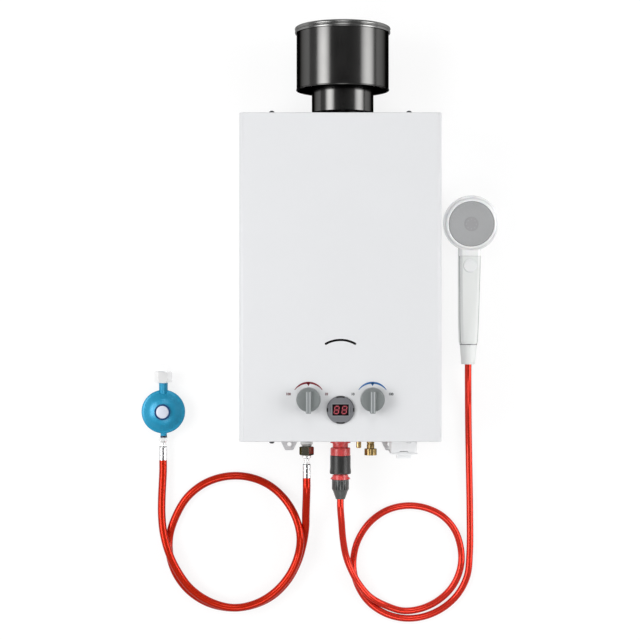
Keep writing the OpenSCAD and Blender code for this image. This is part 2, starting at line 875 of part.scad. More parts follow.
module fins() {
    width = chamber_w - 24;
    step = width / (fin_n - 1);
    depth = chamber_d - 2 * copper_t - 2 * gap;
    color("peru") difference() {
        for (i = [0 : fin_n - 1]) {
            translate([chamber_x - width / 2 + i * step, fin_y, flue_z])
                cube([fin_t, fin_h, depth], center = true);
        }
        for (i = [0 : tube_n - 1]) {
            rod_x(
                chamber_x - width / 2 - 2, chamber_x + width / 2 + 2,
                fin_y, tube_z(i), tube_r + gap / 2
            );
        }
    }
}

// Five runs joined by return bends into one snaking tube
module water_tubes() {
    end = chamber_w / 2 + 6;
    color("darkgoldenrod") {
        for (i = [0 : tube_n - 1]) {
            rod_x(chamber_x - end, chamber_x + end, fin_y, tube_z(i), tube_r);
        }
        for (i = [0 : tube_n - 2]) {
            side = i % 2 == 0 ? 1 : -1;
            translate([chamber_x + side * end, fin_y, (tube_z(i) + tube_z(i + 1)) / 2])
                rotate([90, 0, side > 0 ? 0 : 180]) rotate([0, 0, -90])
                    rotate_extrude(angle = 180) translate([tube_pitch / 2, 0]) circle(tube_r);
        }
    }
}

// The hood gathers the burnt gas from the chamber into the neck
module hood_shell(grow) {
    hull() {
        translate([chamber_x, chamber_top + gap + 1, flue_z])
            cube([chamber_w - 2 + 2 * grow, 2, chamber_d - 2 + 2 * grow], center = true);
        rise(flue_x, top_y - 34, flue_z)
            cylinder(r = neck_dia / 2 - flue_t - gap - 1 + grow, h = 1, $fn = 40);
    }
}

module flue_hood() {
    spigot_r = neck_dia / 2 - flue_t - gap / 2;
    color("silver") {
        difference() {
            union() {
                hood_shell(0);
                block(
                    [chamber_x - chamber_w / 2, chamber_top + gap, chamber_z0],
                    [chamber_x + chamber_w / 2, chamber_top + gap + 1.2, chamber_z1]
                );
                rise(flue_x, top_y - 34, flue_z) cylinder(r = spigot_r, h = 20);
            }
            translate([0, -eps, 0]) hood_shell(-1);
            block(
                [chamber_x - chamber_w / 2 + 4, chamber_top, chamber_z0 + 4],
                [chamber_x + chamber_w / 2 - 4, chamber_top + gap + 1.5, chamber_z1 - 4]
            );
            rise(flue_x, top_y - 35, flue_z) cylinder(r = spigot_r - 1, h = 30);
        }
    }
}

module overheat_switch() {
    color("ivory") translate([chamber_x + 40, chamber_top - 70, chamber_z1]) {
        cylinder(r = 8, h = 4);
        cylinder(r = 5, h = 7);
        for (s = [-1, 1]) {
            translate([s * 3, 0, 8]) cube([0.8, 4, 4], center = true);
        }
    }
}

// ---- Burner -----------------------------------------------------------

// Two side plates stand on the back plate and carry chamber, bars and manifold
module burner_frame() {
    plate_x = chamber_w / 2 + gap;
    foot_h = 20;
    color("silver") translate([chamber_x, 0, 0]) {
        for (s = [-1, 1]) {
            mirror([s < 0 ? 1 : 0, 0, 0]) {
                block(
                    [plate_x, burner_bottom, chamber_z0 + 6],
                    [plate_x + side_t, chamber_y + 30, chamber_z1 - 6]
                );
                block(
                    [plate_x, burner_top - 6, sheet_t],
                    [plate_x + side_t, chamber_y + 30, chamber_z0 + 7]
                );
                block(
                    [plate_x, burner_top - 6, sheet_t],
                    [plate_x + 12, chamber_y + 30, 2 * sheet_t]
                );
                block(
                    [plate_x - 10, chamber_y - side_t - gap, chamber_z0 + 6],
                    [plate_x + eps, chamber_y - gap, chamber_z1 - 6]
                );
            }
        }
        for (z = [chamber_z0 + 6, chamber_z1 - 6 - side_t]) {
            block(
                [-plate_x - eps, burner_bottom + 14, z],
                [plate_x + eps, burner_top - 4, z + side_t]
            );
        }
    }
}

// A burner bar: a flat box, round on top, with its mouth at the front
module burner_bar() {
    half = burner_bar_t / 2;
    crown_y = burner_top - half;
    translate([0, 0, chamber_z0 + 6 + side_t + gap]) difference() {
        linear_extrude(bar_d - 10) {
            translate([-half, burner_bottom]) square([burner_bar_t, crown_y - burner_bottom]);
            translate([0, crown_y]) circle(half);
        }
        translate([0, burner_bottom + 9, bar_d - 40]) cylinder(r = half - 1.4, h = 40);
        for (i = [0 : 6]) {
            translate([0, burner_top, 8 + i * (bar_d - 26) / 6]) cube([burner_bar_t, 4, 1.6], center = true);
        }
    }
}

module burner_bars() {
    step = burner_w / bar_n;
    color("lightgray") for (i = [0 : bar_n - 1]) {
        translate([chamber_x - burner_w / 2 + (i + 0.5) * step, 0, 0]) burner_bar();
    }
}

module gas_manifold() {
    step = burner_w / bar_n;
    nozzle_l = 3;
    color("goldenrod") {
        rod_x(
            chamber_x - burner_w / 2, chamber_x + burner_w / 2,
            manifold_y, manifold_z + manifold_r, manifold_r
        );
        for (i = [0 : bar_n - 1]) {
            translate([chamber_x - burner_w / 2 + (i + 0.5) * step, manifold_y, manifold_z - nozzle_l])
                cylinder(r = 2.2, h = nozzle_l + 2);
        }
    }
}

// Two ceramic rods on a bracket, with wire tips over the bars
module electrodes() {
    z = chamber_z1 - 6 + gap;
    color("ivory") translate([chamber_x, 0, 0]) {
        block([-34, burner_bottom + 20, z], [34, burner_top - 8, z + 1.2]);
        for (x = [-24, 24]) {
            rise(x, burner_bottom + 16, z + 4.4) cylinder(r = 3.4, h = 24);
            rise(x, burner_bottom + 39, z + 4.4) cylinder(r = 0.9, h = 5);
            translate([x, burner_bottom + 44, z - 12]) cylinder(r = 0.9, h = 17.3);
        }
    }
}

// ---- Valves, pipes and ignition ---------------------------------------

gas_valve_w = 44;
gas_valve_y0 = knob_y - 22;
gas_valve_y1 = knob_y + 22;

module gas_valve() {
    color("lightgray") difference() {
        union() {
            translate([-knob_x, knob_y, fit_z - 12]) linear_extrude(valve_front_z - 14 - fit_z + 12)
                round_rect(gas_valve_w, gas_valve_y1 - gas_valve_y0, 5);
            translate([-knob_x, knob_y, fit_z]) cylinder(r = 14, h = valve_front_z - fit_z);
            hang(gas_x, gas_valve_y0 + 4, fit_z)
                cylinder(r = 8, h = gas_valve_y0 + 4 - bottom_y - sheet_t - 4.3);
            rod_x(-knob_x - gas_valve_w / 2 - 20, -knob_x, knob_y - 4, fit_z + 12, 10);
            for (sx = [-1, 1], sy = [-1, 1]) {
                translate([-knob_x + sx * 17, knob_y + sy * 17, sheet_t]) cylinder(r = 4, h = fit_z);
            }
        }
        translate([-knob_x, knob_y, spindle_back_z - gap])
            cylinder(r = spindle_r + run_gap, h = valve_front_z);
    }
}

// From the gas valve up to the manifold
module gas_pipe() {
    bend_y = burner_bottom - 12;
    front_z = manifold_z + manifold_r;
    color("silver") pipe([
        [-knob_x, gas_valve_y1 + gap, fit_z + 20], [-knob_x, bend_y, fit_z + 20],
        [-knob_x, bend_y, front_z], [-knob_x, manifold_y - manifold_r - gap, front_z]
    ], 4.5);
}

water_valve_r = 25;

// Two flanged half-shells round a diaphragm, bolted together
module water_valve() {
    color("goldenrod") difference() {
        union() {
            translate([knob_x, knob_y, fit_z - 12]) cylinder(r = water_valve_r - 5, h = 32);
            translate([knob_x, knob_y, fit_z]) cylinder(r = water_valve_r, h = 8);
            translate([knob_x, knob_y, fit_z]) cylinder(r = 12, h = valve_front_z - fit_z);
            for (i = [0 : 5]) {
                rotate_about(60 * i + 30) cylinder(r = 2.6, h = 14);
            }
            hang(knob_x, knob_y - 12, fit_z) cylinder(r = 7.5, h = knob_y - 12 - bottom_y - sheet_t - 4);
            hang(drain_x + 4, knob_y - 12, fit_z) cylinder(r = 5, h = 14);
            rod_x(knob_x, knob_x + water_valve_r + 4, knob_y + 8, fit_z, 7);
            translate([knob_x, knob_y, sheet_t]) cylinder(r = 6, h = fit_z);
        }
        translate([knob_x, knob_y, spindle_back_z - gap])
            cylinder(r = spindle_r + run_gap, h = valve_front_z);
    }
}

// Places a flange bolt of the water valve
module rotate_about(a) {
    bolt_r = water_valve_r - 3.4;
    translate([knob_x + bolt_r * cos(a), knob_y + bolt_r * sin(a), fit_z - 3]) children();
}

module micro_switch() {
    z = fit_z + 20 + gap;
    color([0.15, 0.15, 0.15]) {
        block([knob_x - 33, knob_y - 5, fit_z + 8 + gap], [knob_x - 27, knob_y + 15, z + 8]);
        block([knob_x - 33, knob_y - 5, fit_z + 8 + gap], [knob_x - 21, knob_y + 5, fit_z + 10]);
        block([knob_x - 27 - eps, knob_y + 2, z], [knob_x - 21, knob_y + 10, z + 0.6]);
    }
}

pipe_r = 6;

// From the water valve round to the exchanger's front end
module cold_pipe() {
    x = chamber_x + chamber_w / 2 + 14;
    y = knob_y + 8;
    color("peru") pipe([
        [knob_x + water_valve_r + 4 + gap, y, fit_z], [x, y, fit_z], [x, y, tube_z(4)],
        [x, fin_y, tube_z(4)], [chamber_x + chamber_w / 2 + 6 + gap, fin_y, tube_z(4)]
    ], pipe_r);
}

// From the exchanger's back end down to the hot-water outlet
module hot_pipe() {
    x = chamber_x - chamber_w / 2 - 14;
    y = gas_valve_y1 + 8;
    back_z = sheet_t + swage_d + pipe_r + 1;
    color("peru") {
        pipe([
            [hot_x, bottom_y + 12, fit_z], [hot_x, y, fit_z], [hot_x, y, back_z], [x, y, back_z],
            [x, fin_y, back_z], [x, fin_y, tube_z(0)],
            [chamber_x - chamber_w / 2 - 6 - gap, fin_y, tube_z(0)]
        ], pipe_r);
    }
    color("goldenrod") hang(hot_x, bottom_y + 12 + eps, fit_z) difference() {
        cylinder(r = outlet_r, h = 12 + 12);
        translate([0, 0, 8]) cylinder(r = 6, h = 30);
    }
}

// The moulded box with its lid and plug rows, screwed to the back plate
module ignition_box() {
    x0 = -inner_x + 6;
    y0 = bottom_y + 20;
    color([0.2, 0.2, 0.22]) translate([x0 + 27, y0 + 30, sheet_t]) {
        linear_extrude(24) round_rect(48, 60, 3);
        linear_extrude(2) round_rect(52, 76, 3);
        translate([0, 0, 24]) linear_extrude(2) round_rect(50, 62, 3);
        for (i = [0 : 3]) {
            translate([-18 + i * 12, 22, 26 + 3 - eps]) cube([8, 8, 6], center = true);
        }
    }
}

// ---- Gas connection ---------------------------------------------------

module gas_inlet() {
    top = bottom_y + sheet_t + 4;
    color("silver") {
        hang(gas_x, top, fit_z) difference() {
            union() {
                linear_extrude(top - gas_block_y - 4) square(gas_block_w, center = true);
                translate([0, 0, top - gas_block_y - 4.01])
                    cylinder(r1 = gas_block_w / 2 - 0.4, r2 = gas_block_w / 2 - 2.4, h = 4);
                linear_extrude(4) round_rect(gas_block_w + 14, gas_block_w + 4, 2);
            }
            translate([0, 0, 8]) cylinder(r = 5, h = 30);
        }
    }
}

module gas_nut() {
    color([0.35, 0.34, 0.28]) hang(gas_x, gas_block_y - gap, fit_z) rotate(12)
        hex_nut(gas_nut_w, gas_nut_h - gap, 5);
}

// The barbed steel tail between the nut and the hose
module gas_tail() {
    l = gas_nut_y - (gas_ferrule_y + ferrule_l);
    color("silver") hang(gas_x, gas_nut_y, fit_z) rotate_extrude() polygon([
        [2.4, -8], [4.7, -8], [4.7, 0], [6.6, 0], [7, 0.8], [7, 4], [4.6, 5.5],
        [4, l - 2], [4.4, l], [2.4, l]
    ]);
}

// A crimped sleeve: two squeezed bands between plain ends
module ferrule() {
    r = gas_hose_dia / 2 + 0.3;
    l = ferrule_l;
    rotate_extrude() polygon([
        [0, 0], [r - 0.8, 0], [r, 0.8], [r, l * 0.28], [r - 0.5, l * 0.33], [r - 0.5, l * 0.45],
        [r, l * 0.5], [r, l * 0.62], [r - 0.5, l * 0.67], [r - 0.5, l * 0.79], [r, l * 0.84],
        [r, l], [0, l]
    ]);
}

module hose_ferrules() {
    color("silver") {
        hang(gas_x, gas_ferrule_y + ferrule_l, fit_z) ferrule();
        hang(reg_x - 1, reg_ferrule_y + ferrule_l, reg_outlet_z) ferrule();
    }
}

// ---- Water connections ------------------------------------------------

module drain_plug() {
    r = drain_dia / 2;
    color("goldenrod") hang(drain_x, bottom_y + 6, fit_z) rotate_extrude() polygon([
        [0, 0], [r, 0], [r, drain_l + 5], [r - 1, drain_l + 6], [0, drain_l + 6]
    ]);
}

module cold_inlet() {
    neck_r = cold_neck_dia / 2;
    r = cold_dia / 2;
    neck_l = 17.3;
    color("goldenrod") hang(knob_x, bottom_y + sheet_t + 3.6, fit_z) {
        start = sheet_t + 3.6;
        difference() {
            union() {
                cylinder(r = neck_r, h = start + neck_l + 1);
                translate([0, 0, start + neck_l]) cylinder(r = r, h = cold_thread_l);
            }
            translate([0, 0, -1]) cylinder(r = cold_bore / 2, h = start + neck_l + cold_thread_l + 2);
            translate([0, 0, start + 10]) rotate_extrude()
                translate([neck_r, 0]) circle(0.7, $fn = 24);
        }
    }
}

// The threaded red piece on the hot-water outlet, with its plug-in nipple
module tap_adapter() {
    neck_r = 11.85;
    l = collar_y - adapter_y;
    nip = 26;
    color("crimson") hang(hot_x, adapter_y, fit_z) rotate_extrude() polygon([
        [outlet_r + gap / 2, 0], [adapter_dia / 2, 0], [adapter_dia / 2, 3.5], [neck_r, 3.5],
        [neck_r, -l], [adapter_nipple_r, -l + eps], [adapter_nipple_r, -l + nip],
        [adapter_nipple_r - 1.4, -l + nip + 1.4], [4, -l + nip + 1.4], [4, 7.4],
        [outlet_r + gap / 2, 7.4]
    ]);
}

// The red collar, the core inside the sleeve and the winged ring, in one piece
module connector_body() {
    core_r = 10.6;
    socket_r = adapter_nipple_r + gap;
    socket_l = 29;
    down = sleeve_y - wing_y;
    color("crimson") hang(hot_x, collar_y - gap, fit_z) {
        rotate_extrude() polygon([
            [socket_r, 0], [collar_dia / 2 - 0.8, 0], [collar_dia / 2, 0.8],
            [collar_dia / 2, collar_l - gap], [core_r, collar_l - gap],
            [core_r, collar_l + down - 3], [12.2, collar_l + down - 3],
            [12.2, collar_l + down + 4], [9, collar_l + down + 4],
            [9, collar_l + down + 12], [4, collar_l + down + 12], [4, socket_l], [socket_r, socket_l]
        ]);
        intersection() {
            translate([0, 0, collar_l + down]) difference() {
                cylinder(r1 = 13.4, r2 = 15.35, h = 3.4);
                translate([0, 0, -1]) cylinder(r = 12, h = 6);
            }
            translate([0, 0, collar_l + down]) cube([40, 12, 20], center = true);
        }
    }
}

// The sleeve that is drawn back to let the connector go
module release_sleeve() {
    bore_r = 12.2 + run_gap;
    front_r = collar_dia / 2 + 0.35;
    r = sleeve_dia / 2;
    color([0.2, 0.2, 0.21]) hang(hot_x, sleeve_y - gap, fit_z) rotate_extrude() polygon([
        [10.6 + run_gap, 0], [front_r, 0], [front_r, sleeve_l - 10], [r, sleeve_l - 4],
        [r, sleeve_l - 0.8], [r - 0.8, sleeve_l], [bore_r, sleeve_l], [bore_r, 6],
        [10.6 + run_gap, 6]
    ]);
}

// The ribbed nut that grips the hose, tapering down to it
module hose_nut() {
    r = hose_nut_dia / 2;
    l = hose_nut_y - shower_hose_y;
    ribbed = 14.5;
    color([0.25, 0.27, 0.27]) hang(hot_x, hose_nut_y - gap, fit_z) difference() {
        rotate_extrude() polygon([
            [0, 9], [9 + gap, 9], [9 + gap, 0], [r - 0.6, 0], [r, 0.6], [r, ribbed],
            [r - 2.2, ribbed + 4], [r - 3.4, ribbed + 8], [8.2, l - 4], [7, l - gap], [0, l - gap]
        ]);
        for (i = [0 : rib_n - 1]) {
            rotate(360 * i / rib_n) translate([r + 0.3, 0, 2]) cylinder(r = 1, h = ribbed + 4);
        }
    }
}

// ---- Battery compartment ----------------------------------------------

battery_z1 = battery_z0 + battery_d;

// Open at the bottom, with a flange under the panel and two hinge ears
module battery_box() {
    y0 = battery_y;
    y1 = battery_y + battery_h;
    color("white") difference() {
        union() {
            translate([battery_x, y1, (battery_z0 + battery_z1) / 2]) rotate([90, 0, 0])
                linear_extrude(y1 - y0) round_rect(battery_w, battery_d, 3);
            block(
                [battery_x - battery_w / 2 - 4, bottom_y + sheet_t + gap / 2, battery_z0 - 3],
                [battery_x + battery_w / 2 + 4, bottom_y + 3 * sheet_t, battery_z1 + 3]
            );
            for (s = [-1, 1]) {
                translate([battery_x + s * ear_x, 0, 0]) {
                    rod_x(-2, 2, hinge_y, hinge_z, pin_r + 1.6);
                    block([-2, y0 - 1, hinge_z - 1], [2, y0 + 5, battery_z0 + gap]);
                }
            }
            rod_x(
                battery_x - ear_x, battery_x + ear_x, hinge_y, hinge_z, pin_r
            );
        }
        translate([battery_x, y0 + battery_h - battery_wall, (battery_z0 + battery_z1) / 2])
            rotate([90, 0, 0])
                linear_extrude(battery_h) round_rect(battery_in_w, battery_in_d, 2);
        translate([battery_x, 0, 0])
            block([-6, y0 - 1, battery_z1 - battery_wall - 1], [6, y0 + 2.5, battery_z1 + 1]);
    }
}

// A bowed plate with two knuckles on the pin and a thumb tab at its front
module battery_lid() {
    knuckle = battery_w / 2 - 8 - gap;
    bow_r = 130;
    outer = battery_y - gap;
    color("white") translate([battery_x, 0, 0]) difference() {
        union() {
            intersection() {
                block([-lid_w / 2, outer - 6, battery_z0 + 0.6], [lid_w / 2, outer, battery_z1 + 1]);
                translate([0, outer - lid_t - 1.4 + bow_r, 0]) cylinder(r = bow_r, h = 200, $fn = 200);
            }
            block([-10.8, outer - 8.4, battery_z1 - 16], [10.8, outer - 2, battery_z1 - 5]);
            block([-5.6, outer - 1, battery_z1 - battery_wall - 0.6], [5.6, outer + 2, battery_z1 - 0.4]);
            for (s = [-1, 1]) {
                translate([s * (knuckle - 3), 0, 0]) {
                    rod_x(-3, 3, hinge_y, hinge_z, hinge_r + 1.3);
                    block([-3, outer - 1.6, hinge_z], [3, outer - 0.2, battery_z0 + 1]);
                }
            }
        }
        rod_x(-battery_w, battery_w, hinge_y, hinge_z, hinge_r);
        for (s = [-1, 1]) {
            block(
                [s * ear_x - 2.4, outer - 8, hinge_z - 6],
                [s * ear_x + 2.4, outer + 1, hinge_z + pin_r + 1.6 + gap]
            );
        }
    }
}

module battery_cells() {
    color("dodgerblue") for (i = [0, 1]) {
        z = battery_z0 + battery_wall + cell_dia / 2 + 0.4 + i * (cell_dia + 0.6);
        rise(battery_x, battery_y + 2.6, z) {
            cylinder(r = cell_dia / 2, h = cell_l - 1.5);
            cylinder(r = 4.7, h = cell_l);
        }
    }
}

// A joining strip and two conical springs at the closed end
module battery_contacts() {
    top = battery_y + battery_h - battery_wall - gap;
    color("silver") for (i = [0, 1]) {
        z = battery_z0 + battery_wall + cell_dia / 2 + 0.4 + i * (cell_dia + 0.6);
        rise(battery_x, top - 0.6, z) linear_extrude(0.6) round_rect(24, 24, 2);
        reach = top - 0.6 - (battery_y + 2.6 + cell_l) - gap;
        rise(battery_x, top - 0.6 - reach, z) cylinder(r1 = 4, r2 = 8, h = reach + eps);
    }
}

// ---- Hand shower ------------------------------------------------------

// Places a piece in the hand shower's own frame: head at the origin,
// handle towards -Y, and Z from the surface it lies on
module in_shower() {
    translate([head_x, head_y, 0]) rotate([0, 0, shower_turn]) children();
}

// Places a piece in the tilted head's frame, its spray side upwards
module in_head() {
    translate([0, 0, head_z]) rotate([head_tilt, 0, 0]) children();
}

head_r = head_dia / 2;
face_r = face_dia / 2;

// Revolved body of the handle, drawn along -Y, with its flattened front
module grip_body(y0, y1, r0, r1) {
    translate([0, y0, grip_z]) rotate([90, 0, 0]) cylinder(r1 = r0, r2 = r1, h = y0 - y1);
}

module grip_flat_cut() {
    block([-60, -400, grip_z + grip_flat], [60, 20, grip_z + 60]);
}

module shower_head() {
    color("whitesmoke") in_shower() difference() {
        union() {
            in_head() rotate_extrude() polygon([
                [0, -34], [10, -33.4], [19, -31], [27, -26.5], [33.5, -20.5], [38.5, -13],
                [41.6, -6], [head_r - 0.2, -2], [head_r, 0], [head_r - 0.8, 2.6], [head_r - 3, 4], [0, 4]
            ]);
            difference() {
                grip_body(-22, seam_y + gap / 2, grip_r_top, grip_r_top);
                translate([0, 0, 0]) grip_flat_cut();
            }
        }
        in_head() translate([0, 0, 0.5]) cylinder(r = face_r + 2.4, h = 20);
    }
}

// The grip, with its button pocket and the thread for the collar
module shower_handle() {
    color("whitesmoke") in_shower() difference() {
        union() {
            grip_body(seam_y - gap / 2, -90, grip_r_top, 17.2);
            grip_body(-90 + eps, -150, 17.2, 16.2);
            grip_body(-150 + eps, grip_end_y + 4, 16.2, grip_r_end);
            grip_body(grip_end_y + 4 + eps, grip_end_y, grip_r_end, grip_r_end - 1.2);
            grip_body(grip_end_y + eps, grip_end_y - 8, 8.5, 8.5);
        }
        grip_flat_cut();
        translate([0, button_y, grip_z + grip_flat - 8]) cylinder(r = button_dia / 2 + gap, h = 20);
    }
}

// The white ring that clamps the spray face
module spray_ring() {
    color("whitesmoke") in_shower() in_head() rotate_extrude() polygon([
        [face_r + gap, 0.8], [face_r + 2.1, 0.8], [face_r + 2.1, 4.3], [head_r - 3.4, 4.3],
        [head_r - 5, 6.2], [face_r + 1.6, 7], [face_r + gap, 6.2]
    ]);
}

module spray_face() {
    nozzle_r = 0.9;
    color("silver") in_shower() in_head() {
        rotate_extrude() polygon([
            [0, 0.8], [face_r, 0.8], [face_r, 5.4], [face_r - 1.2, 6.2], [10, 7.2], [0, 7.2]
        ]);
        for (k = [1 : nozzle_rings]) {
            count = 8 * k;
            ring_r = k * (face_r - 5) / nozzle_rings;
            for (i = [0 : count - 1]) {
                rotate(360 * i / count) translate([ring_r, 0, 5]) cylinder(r = nozzle_r, h = 2.8, $fn = 8);
            }
        }
    }
}

module push_button() {
    color("white") in_shower() translate([0, button_y, grip_z + grip_flat - 8 + button_travel + gap])
        rotate_extrude() polygon([
            [0, 0], [button_dia / 2, 0], [button_dia / 2, 8 - button_travel],
            [button_dia / 2 - 1, 8.8 - button_travel + gap], [0, 8.2 - button_travel + gap]
        ]);
}

// The tapered nut between the handle and its hose
module hose_collar() {
    r0 = 13.2;
    r1 = 10.8;
    l = grip_end_y - collar_end_y;
    color("gainsboro") in_shower() translate([0, grip_end_y - gap, grip_z]) rotate([90, 0, 0])
        difference() {
            rotate_extrude() polygon([
                [0, 10], [8.5 + gap, 10], [8.5 + gap, 0], [r0 - 0.4, 0], [r0, 0.6],
                [r1, l - 1], [r1 - 0.6, l - gap], [0, l - gap]
            ]);
            for (i = [0 : 11]) {
                rotate(30 * i) translate([r0 + 0.5, 0, 1.5]) cylinder(r = 0.9, h = 12);
            }
        }
}

// ---- Gas regulator ----------------------------------------------------

// The lower half, with the bottle-side neck and the outlet spigot
module regulator_body() {
    color("steelblue") translate([reg_x, reg_y, 0]) {
        rotate_extrude() polygon([
            [0, 0], [17, 0], [24, 2], [reg_r - 3.5, 9], [reg_r - 0.6, 12.4],
            [reg_r, 13], [reg_r, reg_rim_z - gap / 2], [0, reg_rim_z - gap / 2]
        ]);
        for (s = [0, 1]) {
            neck_l = s == 0 ? bottle_nut_y - reg_y + 4 : reg_y - reg_outlet_y;
            r = s == 0 ? reg_neck_r : 5;
            z = s == 0 ? reg_axis_z : reg_outlet_z;
            intersection() {
                translate([0, 0, z]) rotate([s == 0 ? -90 : 90, 0, 0]) cylinder(r = r, h = neck_l);
                translate([0, s == 0 ? 60 : -60, 30]) cube([60, 120 - 2 * 20, 60], center = true);
            }
        }
        translate([0, bottle_nut_y - reg_y + 2.5, reg_axis_z]) rotate([-90, 0, 0])
            cylinder(r = 9, h = 3);
    }
}

// The upper half: a shallow dome with the centre cap standing on it
module regulator_bonnet() {
    cap_r = 12;
    color("steelblue") translate([reg_x, reg_y, 0]) difference() {
        rotate_extrude() polygon([
            [0, reg_rim_z + gap / 2], [reg_r, reg_rim_z + gap / 2], [reg_r, 18], [reg_r - 2, 19.4],
            [reg_r - 3.2, 19.6], [reg_r - 8, 23.5], [20, 28], [cap_r + 1, reg_h - 2.6],
            [cap_r, reg_h - 2.4], [cap_r, reg_h - 0.6], [cap_r - 0.6, reg_h], [9.9, reg_h],
            [9.7, reg_h - 0.6], [0, reg_h - 0.6]
        ]);
        translate([0, 60, reg_axis_z]) rotate([90, 0, 0])
            cylinder(r = reg_neck_r + gap, h = 2 * (60 - 20), center = true);
    }
}

// The nut that screws on to the gas bottle; it turns freely on the neck
module bottle_nut() {
    web = 2.2;
    color("silver") translate([reg_x, bottle_nut_y, reg_axis_z]) rotate([-90, 0, 0]) difference() {
        hex_nut(bottle_nut_w, bottle_nut_l, reg_neck_r + run_gap);
        translate([0, 0, web]) cylinder(r = 9.4, h = bottle_nut_l);
        translate([0, 0, web + 3.8]) cylinder(r = bottle_thread_dia / 2, h = bottle_nut_l);
    }
}

// The hexagon and barb between the regulator and its ferrule
module regulator_tail() {
    l = reg_outlet_y - (reg_ferrule_y + ferrule_l);
    color("silver") hang(reg_x - 0.5, reg_outlet_y - gap / 2, reg_outlet_z) {
        hex_nut(14.6, 6, 2);
        translate([0, 0, 6 - eps]) rotate_extrude() polygon([
            [0, 0], [5.4, 0], [4.4, 2], [4.1, l - 7], [4.6, l - 6 - gap], [0, l - 6 - gap]
        ]);
    }
}

// ---- Hoses ------------------------------------------------------------

module gas_hose() {
    color("orangered") translate([0, bottom_y, 0]) hose(gas_route, gas_hose_dia / 2, hose_sides);
}

module shower_hose() {
    color("red") translate([0, bottom_y, 0]) hose(shower_route, shower_hose_dia / 2, hose_sides);
}

echo(gas_hose_length = route_length(gas_route), shower_hose_length = route_length(shower_route));

back_plate();
bottom_panel();
top_panel();
front_cover();
cover_screws();
sight_glass();
display_bezel();
display_window();
display_board();
gas_knob();
gas_spindle();
water_knob();
water_spindle();
flue_collar();
flue_neck();
cap_brackets();
cap_drum();
cap_lid();
combustion_chamber();
fins();
water_tubes();
flue_hood();
overheat_switch();
burner_frame();
burner_bars();
gas_manifold();
electrodes();
gas_valve();
gas_pipe();
water_valve();
micro_switch();
cold_pipe();
hot_pipe();
ignition_box();
gas_inlet();
gas_nut();
gas_tail();
hose_ferrules();
drain_plug();
cold_inlet();
tap_adapter();
connector_body();
release_sleeve();
hose_nut();
battery_box();
battery_lid();
battery_cells();
battery_contacts();
shower_head();
shower_handle();
spray_ring();
spray_face();
push_button();
hose_collar();
regulator_body();
regulator_bonnet();
bottle_nut();
regulator_tail();
gas_hose();
shower_hose();
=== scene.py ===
"""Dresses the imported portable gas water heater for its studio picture.

The heater lies on its back with its hoses laid out round it, and the camera looks
straight down on it. Lengths in the classes are millimetres in the model's own frame.
"""

import logging
import math
from dataclasses import dataclass, field, replace
from enum import Enum
from typing import Any, Callable, Iterable

import bmesh
import bpy
from mathutils import Matrix, Vector


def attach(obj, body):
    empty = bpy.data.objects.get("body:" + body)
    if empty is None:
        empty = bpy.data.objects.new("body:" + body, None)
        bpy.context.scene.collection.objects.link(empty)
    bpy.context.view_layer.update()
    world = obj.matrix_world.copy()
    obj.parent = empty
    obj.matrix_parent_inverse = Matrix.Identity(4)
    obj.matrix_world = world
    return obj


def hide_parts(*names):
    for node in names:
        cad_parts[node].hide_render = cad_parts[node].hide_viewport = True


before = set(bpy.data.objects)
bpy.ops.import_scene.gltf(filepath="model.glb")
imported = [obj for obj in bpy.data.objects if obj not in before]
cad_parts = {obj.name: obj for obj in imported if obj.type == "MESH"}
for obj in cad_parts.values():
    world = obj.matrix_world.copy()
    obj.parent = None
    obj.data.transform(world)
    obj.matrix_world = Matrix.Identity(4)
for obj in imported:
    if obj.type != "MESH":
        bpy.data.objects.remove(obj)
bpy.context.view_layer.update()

LOG = logging.getLogger("water_heater")
MM = 0.001
HEATER = "heater"  # the body that stands still
CAP_X, CAP_Z = 4.0, 76.0  # the rain cap's axis, which runs along Y
FRONT = 138.0  # the casing's front face
KNOB_X, KNOB_Y = 47.0, -180.0  # the water knob, with the gas knob at -KNOB_X
DRIFT_SIZE = 0.09  # of the slow change of a finish's colour, in metres
SMUDGE_SIZE = 0.03  # of a smudge, in metres
LEAST_ROUGHNESS = 0.03
SAME_POINT = 1e-4  # two points this near are one, in millimetres
SAME_NODE_POINT = 2e-6  # the same in a CAD node's mesh, in metres
FLAT_ANGLE = 0.4  # faces that meet at less are one flat face, in degrees
GLOW_DEPTH = 0.002  # that light travels under a translucent skin, in metres
Colour = tuple[float, float, float]
Point = tuple[float, float, float]
Pair = tuple[float, float]
Outline = Iterable[Pair]  # points of a section, as radius and height


def srgb(red: int, green: int, blue: int) -> Colour:
    """Turns an 8-bit colour into the linear numbers that shaders take.

    Args:
        red, green, blue: The colour from 0 to 255.

    Returns:
        The linear colour.
    """

    def channel(value: int) -> float:
        """Linearises one channel."""
        c = value / 255
        return c / 12.92 if c <= 0.04045 else ((c + 0.055) / 1.055) ** 2.4

    return channel(red), channel(green), channel(blue)


def arithmetic(operation: str, reflected: bool = False) -> Callable[["Value", Any], "Value"]:
    """Makes one of Value's operators.

    Args:
        operation: The Math node's operation.
        reflected: True where the value is the second operand.

    Returns:
        The operator's method.
    """

    def method(self: "Value", other: Any) -> "Value":
        """Adds a Math node and wraps its result."""
        first, second = (other, self) if reflected else (self, other)
        inputs = {0: first, 1: second}
        return self.shader.value("ShaderNodeMath", 0, inputs, operation=operation)

    return method


